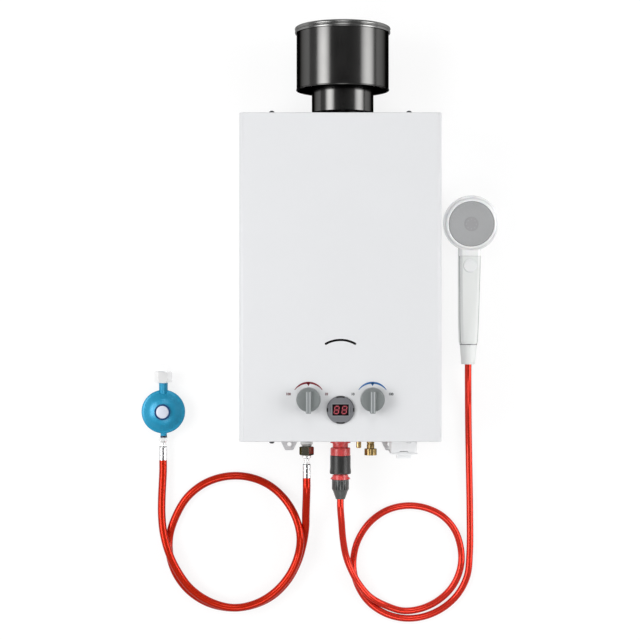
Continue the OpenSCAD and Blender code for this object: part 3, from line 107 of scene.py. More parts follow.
class Value:
    """A number that varies over a surface; arithmetic on it adds Math nodes."""

    def __init__(self, shader: "Shader", socket: bpy.types.NodeSocket) -> None:
        """Wraps an output socket of a shader."""
        self.shader = shader
        self.socket = socket

    __add__ = arithmetic("ADD")
    __radd__ = arithmetic("ADD", True)
    __sub__ = arithmetic("SUBTRACT")
    __rsub__ = arithmetic("SUBTRACT", True)
    __mul__ = arithmetic("MULTIPLY")
    __rmul__ = arithmetic("MULTIPLY", True)
    __pow__ = arithmetic("POWER")
    at_most = arithmetic("MINIMUM")
    at_least = arithmetic("MAXIMUM")


class Shader:
    """A material, world or lamp whose nodes are added one call at a time."""

    def __init__(self, owner: bpy.types.ID) -> None:
        """Empties the owner's node tree and adds its output.

        Args:
            owner: The material, world or lamp to fill.
        """
        owner.use_nodes = True
        self.tree = owner.node_tree
        self.tree.nodes.clear()
        kind = "Material"
        if isinstance(owner, bpy.types.World):
            kind = "World"
        elif isinstance(owner, bpy.types.Light):
            kind = "Light"
        self.output = self.tree.nodes.new("ShaderNodeOutput" + kind)

    def node(
        self, kind: str, inputs: dict[str | int, Any] | None = None, **settings: Any
    ) -> bpy.types.Node:
        """Adds any node.

        Args:
            kind: The node's type.
            inputs: Values or links for its sockets, by name or number.
            settings: Its properties, which are set first.

        Returns:
            The new node.
        """
        made = self.tree.nodes.new(kind)
        for key, value in settings.items():
            setattr(made, key, value)
        for key, value in (inputs or {}).items():
            self.feed(made.inputs[key], value)
        return made

    def feed(self, socket: bpy.types.NodeSocket, value: Any) -> None:
        """Links or sets one input socket.

        Args:
            socket: The socket.
            value: A value, an output to link, a colour or a number.
        """
        if isinstance(value, Value):
            value = value.socket
        if isinstance(value, bpy.types.NodeSocket):
            self.tree.links.new(value, socket)
        elif isinstance(value, tuple) and len(value) == 3 and socket.type == "RGBA":
            socket.default_value = (*value, 1)
        else:
            socket.default_value = value

    def first(self, kind: str, inputs: dict[str | int, Any]) -> bpy.types.NodeSocket:
        """Adds a node and returns its first output."""
        return self.node(kind, inputs).outputs[0]

    def value(
        self, kind: str, output: str | int, inputs: dict[str | int, Any], **settings: Any
    ) -> Value:
        """Adds a node and wraps one of its outputs."""
        return Value(self, self.node(kind, inputs, **settings).outputs[output])

    def split(self, vector: bpy.types.NodeSocket) -> list[Value]:
        """Parts a vector into its three numbers."""
        parts = self.node("ShaderNodeSeparateXYZ", {0: vector})
        return [Value(self, part) for part in parts.outputs]

    def place(self, scale: Point = (1, 1, 1)) -> bpy.types.NodeSocket:
        """Gives object coordinates, stretched by a scale on each axis."""
        coordinates = self.node("ShaderNodeTexCoord").outputs["Object"]
        return self.first("ShaderNodeMapping", {"Vector": coordinates, "Scale": scale})

    def noise(self, place: bpy.types.NodeSocket, size: float, detail: float = 3) -> Value:
        """Adds a noise whose features are about `size` metres wide."""
        inputs = {"Vector": place, "Scale": 1 / size, "Detail": detail, "Roughness": 0.55}
        return self.value("ShaderNodeTexNoise", "Fac", inputs)

    def mix(self, factor: Any, first: Any, second: Any) -> bpy.types.NodeSocket:
        """Mixes two colours."""
        inputs = {0: factor, 6: first, 7: second}
        return self.node("ShaderNodeMix", inputs, data_type="RGBA").outputs[2]

    def bump(self, height: Value, depth: float) -> bpy.types.NodeSocket:
        """Turns a height from 0 to 1 into a normal, `depth` metres deep."""
        inputs = {"Height": height, "Distance": depth, "Strength": 1}
        return self.first("ShaderNodeBump", inputs)

    def show(self, surface: bpy.types.NodeSocket) -> None:
        """Sends a shader to the output."""
        self.tree.links.new(surface, self.output.inputs["Surface"])


class Grain(Enum):
    """How a fine texture runs: what it is, its stretch on each axis, its detail."""

    PEEL = ("sprayed coat with a faint orange peel", (1, 1, 1), 3)
    MOULDED = ("fine spark-eroded mould texture", (1, 1, 1), 3)
    POLISHED = ("nearly smooth, with faint smudges", (1, 1, 1), 3)
    BRUSHED_X = ("drawn lines along X", (0.02, 1, 1), 5)
    BRUSHED_Y = ("drawn lines along Y", (1, 0.02, 1), 5)
    CAST = ("coarse sand-cast skin", (1, 1, 1), 6)
    RUBBER = ("extruded rubber", (1, 1, 1), 3)
    THREAD = ("turned rings across Y", (1, 1, 1), 0)
    SPUN = ("fine rings round the cap's axis, from a lathe", (1, 1, 1), 5)


@dataclass(frozen=True)
class Finish:
    """One surface finish and the material that shows it."""

    name: str
    slot: str
    colour: Colour
    grain: Grain
    roughness: float
    metallic: float = 0.0
    drift: float = 0.05
    smudge: float = 0.06
    grain_size: float = 0.0008
    grain_depth: float = 0.00002
    coat: float = 0.0
    coat_roughness: float = 0.08
    coat_tint: Colour = (1.0, 1.0, 1.0)
    coat_ior: float = 1.5
    specular: float = 0.5
    subsurface: float = 0.0
    grazing: float = 1.0

    def recoloured(self, name: str, colour: Colour, **changes: Any) -> "Finish":
        """Returns the same finish under another name and in another colour."""
        return replace(self, name=name, colour=colour, **changes)

    def material(self) -> bpy.types.Material:
        """Makes the finish's material on its first use.

        Returns:
            The material.
        """
        known = bpy.data.materials.get(self.name)
        if known is not None:
            return known
        made = bpy.data.materials.new(self.name)
        self.fill(Shader(made))
        return made

    def tone(self, shader: Shader) -> bpy.types.NodeSocket:
        """Colours the surface, with a slow drift and fine flecks.

        Args:
            shader: The material being filled.

        Returns:
            The colour's socket.
        """
        slow = shader.noise(shader.place(), DRIFT_SIZE, 2)
        fine = shader.noise(shader.place(), self.grain_size * 4, 4)
        dark = tuple(c * (1 - 2 * self.drift) for c in self.colour)
        light = tuple(min(1.0, c * (1 + self.drift)) for c in self.colour)
        return shader.mix(slow * 0.7 + fine * 0.3, dark, light)

    def height(self, shader: Shader) -> Value:
        """Gives the fine texture's height.

        Args:
            shader: The material being filled.

        Returns:
            The height, from 0 to 1.
        """
        _, stretch, detail = self.grain.value
        place = shader.place(stretch)
        if self.grain is Grain.THREAD:
            return shader.value(
                "ShaderNodeTexWave", "Fac",
                {"Vector": place, "Scale": 0.314 / self.grain_size, "Distortion": 0.0},
                wave_type="BANDS", bands_direction="Y",
            )
        if self.grain is Grain.SPUN:
            x, _, z = shader.split(place)
            across, up = x - CAP_X * MM, z - CAP_Z * MM
            away = (across * across + up * up) ** 0.5
            place = shader.first("ShaderNodeCombineXYZ", {0: away})
        return shader.noise(place, self.grain_size, detail)

    def fill(self, shader: Shader) -> None:
        """Adds the finish's nodes.

        Args:
            shader: The material being filled, which is still empty.
        """
        smear = shader.noise(shader.place(), SMUDGE_SIZE, 4)
        rough = smear * (2 * self.smudge) + (self.roughness - self.smudge)
        inputs: dict[str | int, Any] = {
            "Base Color": self.tone(shader),
            "Roughness": rough.at_least(LEAST_ROUGHNESS).at_most(1.0),
            "Metallic": self.metallic,
            "Specular IOR Level": self.specular,
            "Specular Tint": (self.grazing,) * 3,
            "Coat Weight": self.coat,
            "Coat Roughness": self.coat_roughness,
            "Coat Tint": self.coat_tint,
            "Coat IOR": self.coat_ior,
            "Normal": shader.bump(self.height(shader), self.grain_depth),
        }
        if self.subsurface:
            inputs["Subsurface Weight"] = self.subsurface
            inputs["Subsurface Scale"] = GLOW_DEPTH
        shader.show(shader.first("ShaderNodeBsdfPrincipled", inputs))


@dataclass(frozen=True)
class Glowing(Finish):
    """A finish that gives off a little light of its own."""

    strength: float = 1.0

    def fill(self, shader: Shader) -> None:
        """Adds a shader whose light drifts with its colour.

        Args:
            shader: The material being filled, which is still empty.
        """
        tone = self.tone(shader)
        inputs = {
            "Base Color": tone,
            "Roughness": self.roughness,
            "Emission Color": tone,
            "Emission Strength": self.strength,
        }
        shader.show(shader.first("ShaderNodeBsdfPrincipled", inputs))


COATED = Finish(
    "white powder coat", "white_coat", srgb(220, 221, 223), Grain.PEEL, 0.42,
    drift=0.012, smudge=0.04, grain_size=0.0016, grain_depth=0.00003,
)
DARK_MIRROR = Finish(
    "dark mirror steel", "dark_mirror", (0.112, 0.111, 0.109), Grain.BRUSHED_X, 0.17,
    metallic=1.0, drift=0.06, smudge=0.04, grain_size=0.0007, grain_depth=0.000006,
    grazing=0.03,
)
LID_STEEL = Finish(
    "bright spun steel", "dark_mirror", (0.23, 0.23, 0.226), Grain.SPUN, 0.2,
    metallic=1.0, drift=0.06, smudge=0.08, grain_size=0.0012, grazing=0.4,
)
STEEL = Finish(
    "plated steel", "steel", (0.50, 0.49, 0.48), Grain.BRUSHED_Y, 0.34,
    metallic=1.0, smudge=0.1, grain_size=0.0005, grain_depth=0.00001,
)
BLACK_STEEL = Finish(
    "blackened screw steel", "steel", (0.06, 0.06, 0.065), Grain.CAST, 0.4,
    metallic=1.0, smudge=0.1,
)
CHROME = Finish(
    "bright chrome", "chrome", (0.82, 0.82, 0.83), Grain.POLISHED, 0.24,
    metallic=1.0, drift=0.03, grain_size=0.002, grain_depth=0.00001,
)
SATIN_CHROME = CHROME.recoloured(
    "satin chrome", (0.95, 0.95, 0.95), roughness=0.48, drift=0.02
)
KNOB_GREY = Finish(
    "grey moulded knob", "grey_plastic", srgb(124, 129, 129), Grain.MOULDED, 0.36,
    grain_size=0.0006, grain_depth=0.00003,
)
BEZEL_GREY = KNOB_GREY.recoloured("grey moulded bezel", srgb(116, 117, 121))
BAR_STRIP_GREY = Finish(
    "lighter strip on a knob's bar", "grey_plastic", srgb(134, 138, 140), Grain.MOULDED, 0.4,
    drift=0.04,
)
# the pale lines are painted highlights on the edges of the knobs' bars
PAINTED_BAR_HIGHLIGHT = BAR_STRIP_GREY.recoloured("painted highlight on a knob's bar", srgb(188, 192, 194))
BEZEL_PALE = Finish(
    "paler window frame", "grey_plastic", srgb(146, 149, 151), Grain.MOULDED, 0.36
)
BEZEL_DARK = BEZEL_PALE.recoloured("darker bezel tab", srgb(84, 85, 90))
BLACK_GLOSS = Finish(
    "black window", "window", srgb(14, 8, 10), Grain.POLISHED, 0.12,
    drift=0.1, smudge=0.04, coat=0.4,
)
LIT_RED = Glowing(
    "lit red segment", "window", srgb(204, 96, 108), Grain.POLISHED, 0.3, strength=0.12
)
GLOW_RED = LIT_RED.recoloured(
    "red glow behind the digits", srgb(44, 4, 10), strength=0.1
)
BLACK_MATT = Finish(
    "black moulding", "charcoal_plastic", srgb(12, 12, 14), Grain.MOULDED, 0.4
)
CHARCOAL = Finish(
    "charcoal moulding", "charcoal_plastic", srgb(40, 40, 39), Grain.MOULDED, 0.38,
    drift=0.08, grain_size=0.0007, grain_depth=0.00003,
)
NUT_GREY = CHARCOAL.recoloured(
    "grey hose nut", srgb(84, 87, 86), slot="grey_plastic", roughness=0.32
)
# dark lines in the hand shower's gaps and along its handle's sides, painted shade
SHADE_LINE = Finish(
    "painted shade line", "charcoal_plastic", srgb(84, 86, 88), Grain.RUBBER, 0.5
)
RED_PLASTIC = Finish(
    "red moulding", "red_plastic", srgb(222, 78, 78), Grain.MOULDED, 0.33,
    drift=0.07, grain_size=0.001, coat=0.15, subsurface=0.05,
)
BRASS = Finish(
    "turned brass", "brass", (0.46, 0.33, 0.145), Grain.THREAD, 0.13,
    metallic=1.0, drift=0.12, smudge=0.04, grain_size=0.0014, grain_depth=0.0001,
    grazing=0.1,
)
PLAIN_BRASS = Finish(
    "plain brass", "brass", (0.6, 0.42, 0.19), Grain.BRUSHED_Y, 0.26,
    metallic=1.0, drift=0.12, smudge=0.1,
)
CAST_ALLOY = Finish(
    "die-cast alloy", "cast_alloy", (0.62, 0.62, 0.61), Grain.CAST, 0.48,
    metallic=0.9, drift=0.08, smudge=0.1, grain_size=0.0009, grain_depth=0.00008,
)
DARK_NICKEL = Finish(
    "dark nickel nut", "dark_nickel", (0.3, 0.28, 0.21), Grain.POLISHED, 0.13,
    metallic=1.0, drift=0.12, smudge=0.04, grain_size=0.001, grain_depth=0.000002,
    grazing=0.05,
)
COPPER = Finish(
    "heated copper", "copper", (0.72, 0.36, 0.22), Grain.BRUSHED_Y, 0.38,
    metallic=1.0, drift=0.2, smudge=0.15,
)
CERAMIC = Finish(
    "ceramic", "ceramic", srgb(232, 226, 212), Grain.CAST, 0.5, grain_depth=0.00003
)
BOARD = Finish("circuit board", "board", srgb(30, 100, 55), Grain.CAST, 0.4)
CELL_WRAP = Finish(
    "cell wrap", "cell_wrap", srgb(40, 88, 160), Grain.POLISHED, 0.3, coat=0.3
)
SMOKED = Finish(
    "smoked pane", "sight_pane", srgb(16, 14, 13), Grain.POLISHED, 0.25, drift=0.2
)
WHITE_MOULDED = Finish(
    "white moulding", "white_plastic", srgb(244, 245, 246), Grain.MOULDED, 0.36,
    drift=0.012, smudge=0.05, grain_size=0.001, grain_depth=0.00001, coat=0.1,
)
WHITE_GLOSS = Finish(
    "white glossy shell", "white_plastic", srgb(249, 250, 250), Grain.POLISHED, 0.22,
    drift=0.012, smudge=0.05, grain_size=0.004, grain_depth=0.00001, coat=0.3,
    subsurface=0.05,
)
WHITE_SHELL = Finish(
    "white satin shell", "white_plastic", srgb(252, 254, 252), Grain.POLISHED, 0.42,
    drift=0.01, smudge=0.05, grain_size=0.004, grain_depth=0.00001, specular=0.15,
    coat=1.0, coat_roughness=0.3, coat_tint=(0.89, 0.89, 0.89), coat_ior=1.2,
)
FACE_GREY = Finish(
    "grey spray face", "grey_plastic", srgb(181, 182, 183), Grain.MOULDED, 0.4,
    drift=0.06, grain_size=0.0012, grain_depth=0.00003,
)
FACE_DARK = FACE_GREY.recoloured("darker spray centre", srgb(168, 167, 169))
BLUE_LACQUER = Finish(
    "blue metallic lacquer", "blue_lacquer", srgb(22, 154, 196), Grain.CAST, 0.44,
    metallic=0.3, drift=0.1, grain_size=0.0012, grain_depth=0.00005,
    coat=0.25, coat_roughness=0.2,
)
DEEP_BLUE = Finish(
    "deep blue ring", "blue_lacquer", srgb(10, 66, 122), Grain.POLISHED, 0.3,
    metallic=0.2, drift=0.08, coat=0.4,
)
NAVY = Finish(
    "navy outlet band", "blue_lacquer", srgb(14, 34, 62), Grain.POLISHED, 0.35,
    drift=0.08,
)
PALE_LABEL = NAVY.recoloured("blank pale disc", srgb(222, 226, 240), drift=0.04)
GAS_RUBBER = Finish(
    "orange-red rubber", "orange_rubber", (0.80, 0.085, 0.03), Grain.RUBBER, 0.24,
    metallic=0.45, grazing=0.1, smudge=0.05, grain_size=0.0015, specular=0.4,
    coat=1.0, coat_roughness=0.12, coat_tint=(0.72, 0.28, 0.2), coat_ior=1.2,
)
SHOWER_RUBBER = Finish(
    "glossy red hose", "red_rubber", (0.98, 0.12, 0.08), Grain.POLISHED, 0.17,
    metallic=0.5, grazing=0.1, drift=0.04, smudge=0.04, grain_size=0.002,
    coat=1.0, coat_tint=(0.78, 0.36, 0.3), coat_ior=1.2,
)
PRINT_RED = Finish(
    "printed red", "white_coat", srgb(122, 20, 38), Grain.POLISHED, 0.4
)
PRINT_BLUE = PRINT_RED.recoloured("printed blue", srgb(40, 100, 160))
PRINT_DARK_RED = PRINT_RED.recoloured("printed dull red", srgb(96, 22, 34))
PRINT_GREY = PRINT_RED.recoloured("printed grey", srgb(40, 44, 50))


def move(x: float, y: float, z: float) -> Matrix:
    """Returns a translation, in millimetres."""
    return Matrix.Translation((x, y, z))


def turn(degrees: float, axis: str) -> Matrix:
    """Returns a rotation about an axis."""
    return Matrix.Rotation(math.radians(degrees), 4, axis)


def rising(x: float, y: float, z: float) -> Matrix:
    """Stands a revolved shape at a point with its axis towards the rain cap."""
    return move(x, y, z) @ turn(-90, "X")


def hanging(x: float, y: float, z: float) -> Matrix:
    """Stands a revolved shape at a point with its axis away from the rain cap."""
    return move(x, y, z) @ turn(90, "X")


def add_object(name: str, data: bpy.types.ID | None) -> bpy.types.Object:
    """Adds an object with its data to the scene.

    Args:
        name: The object's name.
        data: Its mesh, curve, camera or lamp.

    Returns:
        The new object.
    """
    made = bpy.data.objects.new(name, data)
    bpy.context.scene.collection.objects.link(made)
    return made


def to_object(bm: bmesh.types.BMesh, name: str, place: Matrix) -> bpy.types.Object:
    """Turns a mesh in millimetres into an object at the origin, in metres.

    Args:
        bm: The mesh, which is freed.
        name: The piece's name.
        place: Where the mesh goes in the model's frame, in millimetres.

    Returns:
        The new object.
    """
    bm.transform(Matrix.Scale(MM, 4) @ place)
    mesh = bpy.data.meshes.new(name)
    bm.to_mesh(mesh)
    bm.free()
    return add_object(name, mesh)


def clean(bm: bmesh.types.BMesh) -> None:
    """Merges doubled points and turns the faces outwards."""
    bmesh.ops.remove_doubles(bm, verts=bm.verts, dist=SAME_POINT)
    bmesh.ops.recalc_face_normals(bm, faces=bm.faces)


def thicken(bm: bmesh.types.BMesh, height: float) -> None:
    """Raises flat faces to a height above themselves and closes their sides.

    Args:
        bm: The mesh.
        height: Its thickness, along Z.
    """
    made = bmesh.ops.extrude_face_region(bm, geom=list(bm.faces))
    verts = [v for v in made["geom"] if isinstance(v, bmesh.types.BMVert)]
    bmesh.ops.translate(bm, verts=verts, vec=(0, 0, height))
    bmesh.ops.recalc_face_normals(bm, faces=bm.faces)


def revolved(
    name: str, profile: Outline, place: Matrix, steps: int
) -> bpy.types.Object:
    """Spins an outline of (radius, height) points about its own Z axis.

    Args:
        name: The piece's name.
        profile: The outline, in millimetres, from one end to the other.
        place: Where the axis goes.
        steps: The number of steps of the spin.

    Returns:
        The new object.
    """
    bm = bmesh.new()
    verts = [bm.verts.new((r, 0, h)) for r, h in profile]
    edges = [bm.edges.new(pair) for pair in zip(verts, verts[1:])]
    bmesh.ops.spin(
        bm, geom=verts + edges, cent=(0, 0, 0), axis=(0, 0, 1),
        angle=math.tau, steps=steps, use_merge=True,
    )
    clean(bm)
    return to_object(bm, name, place)


def sector(
    bm: bmesh.types.BMesh, profile: Outline, middle: float, spread: float, steps: int = 12
) -> None:
    """Adds a closed part of a ring, spun from its section about the Z axis.

    Args:
        bm: The mesh that it is added to.
        profile: Its section's corners, as radius and height.
        middle: Its direction from the axis, in degrees.
        spread: Half the angle that it covers.
        steps: The number of steps of the spin.
    """
    part = bmesh.new()
    start = turn(middle - spread, "Z")
    face = part.faces.new([part.verts.new(start @ Vector((r, 0, h))) for r, h in profile])
    bmesh.ops.spin(
        part, geom=[face], cent=(0, 0, 0), axis=(0, 0, 1),
        angle=math.radians(2 * spread), steps=steps,
    )
    clean(part)
    mesh = bpy.data.meshes.new("sector")
    part.to_mesh(mesh)
    part.free()
    bm.from_mesh(mesh)
    bpy.data.meshes.remove(mesh)


def eased(profile: Outline, steps: int = 4) -> list[Pair]:
    """Runs a smooth curve through an outline's points.

    Args:
        profile: The points, in order.
        steps: How many pieces each stretch is cut into.

    Returns:
        The finer outline.
    """
    points = [(r, h, 0.0) for r, h in profile]
    return [(max(p.x, 0.0), p.y) for p in through(points, steps)]


def through(points: list[Point], steps: int) -> list[Vector]:
    """Runs a centripetal curve through points.

    Args:
        points: The points that the curve passes through.
        steps: How many pieces each stretch is cut into.

    Returns:
        The curve's points, the first and last of them unchanged.
    """
    known = [Vector(p) for p in points]
    known = [2 * known[0] - known[1], *known, 2 * known[-1] - known[-2]]
    result = []
    for a, b, c, d in zip(known, known[1:], known[2:], known[3:]):
        t1 = math.sqrt((b - a).length)
        t2 = t1 + math.sqrt((c - b).length)
        t3 = t2 + math.sqrt((d - c).length)
        for k in range(steps):
            t = t1 + (t2 - t1) * k / steps
            ab = a.lerp(b, t / t1)
            bc = b.lerp(c, (t - t1) / (t2 - t1))
            cd = c.lerp(d, (t - t2) / (t3 - t2))
            abc = ab.lerp(bc, t / t2)
            bcd = bc.lerp(cd, (t - t1) / (t3 - t1))
            result.append(abc.lerp(bcd, (t - t1) / (t2 - t1)))
    result.append(known[-2])
    return result


def stadium(width: float, length: float, thickness: float) -> bmesh.types.BMesh:
    """Cuts a flat strip with round ends, lying along Y.

    Args:
        width, length, thickness: Its sizes, in millimetres.

    Returns:
        The strip's mesh, its underside at Z 0.
    """
    bm = bmesh.new()
    made = bmesh.ops.create_circle(bm, cap_ends=True, segments=24, radius=width / 2)
    for vert in made["verts"]:
        vert.co.y += math.copysign((length - width) / 2, vert.co.y)
    thicken(bm, thickness)
    return bm


def dress(
    obj: bpy.types.Object,
    finish: Finish,
    body: str = HEATER,
    angle: float = 32,
    bevel: float = 0.0,
) -> bpy.types.Object:
    """Gives a piece its finish, its smoothing and the body that it rides on.

    Args:
        obj: The piece.
        finish: Its finish.
        body: The CAD body that it moves with.
        angle: The sharpest edge that is shaded smooth, in degrees.
        bevel: The rounding of its sharper edges, in millimetres, or 0 for none.

    Returns:
        The piece.
    """
    obj.data.materials.clear()
    obj.data.materials.append(finish.material())
    if bevel:
        made = obj.modifiers.new("rounding", "BEVEL")
        made.width = bevel * MM
        made.segments = 2
        made.limit_method = "ANGLE"
        made.angle_limit = math.radians(angle)
        made.harden_normals = True
    if obj.type == "MESH":
        obj.data.shade_smooth()
        obj.data.set_sharp_from_angle(angle=math.radians(angle))
    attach(obj, body)
    LOG.info("piece %s: %s on %s", obj.name, finish.name, body)
    return obj


def skin(
    node: str, finish: Finish, body: str = HEATER, bevel: float = 0.0, angle: float = 32
) -> bpy.types.Object:
    """Dresses a copy of a CAD node whose flat faces are joined up.

    Args:
        node: The CAD node's name, which the copy hides.
        finish: The copy's finish.
        body: The CAD body that it moves with.
        bevel: The rounding of its edges, in millimetres.
        angle: The sharpest edge that is shaded smooth, in degrees.

    Returns:
        The copy.
    """
    bm = bmesh.new()
    bm.from_mesh(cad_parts[node].data)
    bmesh.ops.remove_doubles(bm, verts=bm.verts, dist=SAME_NODE_POINT)
    bmesh.ops.dissolve_limit(
        bm, angle_limit=math.radians(FLAT_ANGLE), verts=bm.verts, edges=bm.edges
    )
    mesh = bpy.data.meshes.new(node + "_skin")
    bm.to_mesh(mesh)
    bm.free()
    made = add_object(node + "_skin", mesh)
    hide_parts(node)
    return dress(made, finish, body, angle, bevel)


def spun(
    name: str,
    profile: Outline,
    place: Matrix,
    finish: Finish,
    steps: int = 64,
    angle: float = 40,
    node: str = "",
) -> None:
    """Spins a piece that stands still and dresses it.

    Args:
        name: The piece's name.
        profile: Its outline, as radius and height.
        place: Where its axis goes.
        finish: Its finish.
        steps: The number of steps of the spin.
        angle: The sharpest edge that is shaded smooth, in degrees.
        node: The CAD node that it stands for, if any.
    """
    made = revolved(name, profile, place, steps)
    if node:
        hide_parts(node)
    dress(made, finish, angle=angle)


@dataclass
class Studio:
    """The camera, the floor and the lights."""

    eye: Point = (-30.1, -63.1, 2488.0)
    lens: float = 90.05
    sensor: float = 36.0
    view_end: float = 50.0
    floor_half: float = 8000.0
    floor_z: float = -0.3
    floor_bounce: float = 0.5
    floor_dim: float = 0.19
    floor_glow: float = 0.83
    sky: float = 0.31
    ceiling: float = 0.8
    backdrop: float = 0.9
    distance: float = 2350.0
    # Each lamp's name, lean and its axis, width, length and radiance in its middle.
    lamps: tuple[tuple[str, float, str, float, float, float], ...] = (
        ("left softbox", -48, "Y", 1500, 1900, 6.3),
        ("right softbox", 62, "Y", 1700, 1900, 5.2),
        ("near softbox", 35, "X", 1200, 900, 4.0),
        ("far softbox", -35, "X", 1200, 900, 4.0),
    )

    def camera(self) -> None:
        data = bpy.data.cameras.new("camera")
        data.lens = self.lens
        data.sensor_width = self.sensor
        data.clip_end = self.view_end
        made = add_object("camera", data)
        made.location = Vector(self.eye) * MM
        bpy.context.scene.camera = made

    def floor(self) -> None:
        bm = bmesh.new()
        bmesh.ops.create_grid(bm, x_segments=2, y_segments=2, size=self.floor_half)
        floor = to_object(bm, "floor", move(0, 0, self.floor_z))
        material = bpy.data.materials.new("white floor")
        shader = Shader(material)
        path = shader.node("ShaderNodeLightPath")
        seen = Value(shader, path.outputs["Is Camera Ray"])
        for other in ("Is Glossy Ray", "Is Transmission Ray"):
            seen = seen.at_least(Value(shader, path.outputs[other]))
        plain = shader.first("ShaderNodeBsdfDiffuse", {"Color": (self.floor_bounce,) * 3})
        dim = shader.first("ShaderNodeBsdfDiffuse", {"Color": (self.floor_dim,) * 3})
        glow = shader.first(
            "ShaderNodeEmission", {"Color": (1, 1, 1), "Strength": self.floor_glow}
        )
        lifted = shader.first("ShaderNodeAddShader", {0: dim, 1: glow})
        shader.show(shader.first("ShaderNodeMixShader", {0: seen, 1: plain, 2: lifted}))
        floor.data.materials.append(material)

    def softbox(
        self, name: str, place: Matrix, width: float, length: float, peak: float
    ) -> None:
        """Its light also falls off along its length, to a quarter at its two ends.

        Args:
            name: The lamp's name.
            peak: The radiance of its middle.
        """
        data = bpy.data.lights.new(name, "AREA")
        data.shape = "RECTANGLE"
        data.size = width * MM
        data.size_y = length * MM
        data.energy = peak * math.pi * width * length * MM * MM
        shader = Shader(data)
        spot = shader.node("ShaderNodeNewGeometry").outputs["Parametric"]
        across, along, _ = shader.split(spot)
        soft = (1 - across) * across * 4 * (0.25 + ((1 - along) * along * 12).at_most(0.75))
        shader.show(
            shader.first("ShaderNodeEmission", {"Color": (1, 1, 1), "Strength": soft})
        )
        made = add_object(name, data)
        made.matrix_world = Matrix.LocRotScale(
            place.to_translation() * MM, place.to_quaternion(), None
        )

    def air(self) -> None:
        """Sets a soft sky that is darker straight above, as a studio's ceiling is."""
        world = bpy.data.worlds.new("studio air")
        shader = Shader(world)
        way = shader.node("ShaderNodeTexCoord").outputs["Generated"]
        rise = shader.split(way)[2].at_least(0.0)
        path = shader.node("ShaderNodeLightPath")
        seen = Value(shader, path.outputs["Is Camera Ray"])
        sky = (1 - rise**5 * self.ceiling) * self.sky
        strength = sky * (1 - seen) + seen * self.backdrop
        shader.show(
            shader.first("ShaderNodeBackground", {"Color": (1, 1, 1), "Strength": strength})
        )
        bpy.context.scene.world = world

    def build(self) -> None:
        """Sets up the whole studio."""
        bpy.context.scene.view_settings.view_transform = "Standard"
        self.camera()
        self.floor()
        self.air()
        away = move(0, 0, self.distance)
        for name, lean, axis, width, length, peak in self.lamps:
            self.softbox(name, turn(lean, axis) @ away, width, length, peak)


@dataclass
class Hoses:
    """The two hoses, each one smooth tube along its route.

    The routes count Y from the casing's bottom edge, as the model's source does.
    """

    bottom_y: float = -242.0
    gas_diameter: float = 12.0
    shower_diameter: float = 10.5
    cuts: int = 9  # of each stretch between two of a route's points
    gas_route: list[Point] = field(
        default_factory=lambda: [
            (-273, -38, 10), (-273, -54, 10), (-274, -76, 10), (-275, -98, 10),
            (-275, -122, 11), (-272, -148, 16), (-264, -178, 18.6), (-250, -208, 18.6),
            (-229, -236, 18.6), (-199, -256, 18.6), (-163, -265, 18.6), (-128, -258, 18.6),
            (-99, -240, 18.8), (-77, -214, 19.4), (-64, -184, 21.8), (-60.5, -154, 26.6),
            (-68, -124, 24), (-86, -96, 16), (-112, -75, 9), (-144, -64, 6),
            (-178, -64, 6), (-210, -75, 6), (-236, -96, 6), (-253, -124, 6),
            (-263, -154, 6), (-263.5, -182, 6), (-254, -213, 6), (-234, -240, 6),
            (-205, -259, 6), (-170, -267, 6), (-136, -263.5, 6), (-105, -249.5, 6),
            (-81, -226, 6), (-65, -197, 6.6), (-56.5, -168, 10.8), (-52.5, -142, 19.5),
            (-51.8, -118, 30), (-51, -96, 40), (-50.5, -78, 46), (-50.5, -62, 46),
        ]
    )
    shower_route: list[Point] = field(
        default_factory=lambda: [
            (1, -94, 46), (1, -107, 46), (2.8, -130, 40), (5.2, -158, 30),
            (10, -185, 21.5), (19, -209, 17), (31, -230, 16.2), (48, -249.5, 13),
            (73, -264, 7.5), (99, -272, 5.3), (127, -268.5, 5.3), (153, -256, 5.3),
            (174, -236, 5.3), (186.5, -210, 5.3), (189, -182, 5.3), (180, -149, 5.3),
            (161, -126, 5.3), (134, -112.5, 5.3), (104, -109, 5.3), (74, -116, 5.3),
            (48, -134, 5.3), (30, -160, 5.3), (22.5, -185, 5.3), (22, -210, 5.3),
            (30, -236, 5.3), (46, -259, 5.3), (71, -276, 5.3), (100, -283.5, 5.3),
            (130, -281, 5.3), (159, -268.5, 5.3), (183, -247, 5.3), (198, -218, 5.3),
            (202, -182, 5.3), (202.3, -123, 5.3), (201, -43, 5.3), (200.1, 12, 5.3),
            (199.5, 47, 8), (198.9, 72, 13.5), (198.4, 95, 17.8), (198.5, 110.6, 17.8),
        ]
    )

    def tube(
        self, name: str, route: list[Point], diameter: float, finish: Finish, node: str
    ) -> None:
        """Args:
            name: The piece's name.
            route: The route's points.
            diameter: The hose's outside diameter.
            finish: Its finish.
            node: The CAD node that it stands for.
        """
        points = [
            (p + Vector((0, self.bottom_y, 0))) * MM for p in through(route, self.cuts)
        ]
        data = bpy.data.curves.new(name, "CURVE")
        data.dimensions = "3D"
        data.bevel_depth = diameter / 2 * MM
        data.bevel_resolution = 7
        data.use_fill_caps = True
        spline = data.splines.new("POLY")
        spline.points.add(len(points) - 1)
        for target, point in zip(spline.points, points):
            target.co = (*point, 1)
        spline.use_smooth = True
        made = add_object(name, data)
        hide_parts(node)
        dress(made, finish)

    def build(self) -> None:
        """Lays both hoses."""
        for node, route, diameter, finish in (
            ("gas_hose", self.gas_route, self.gas_diameter, GAS_RUBBER),
            ("shower_hose", self.shower_route, self.shower_diameter, SHOWER_RUBBER),
        ):
            self.tube(node + "_tube", route, diameter, finish, node)


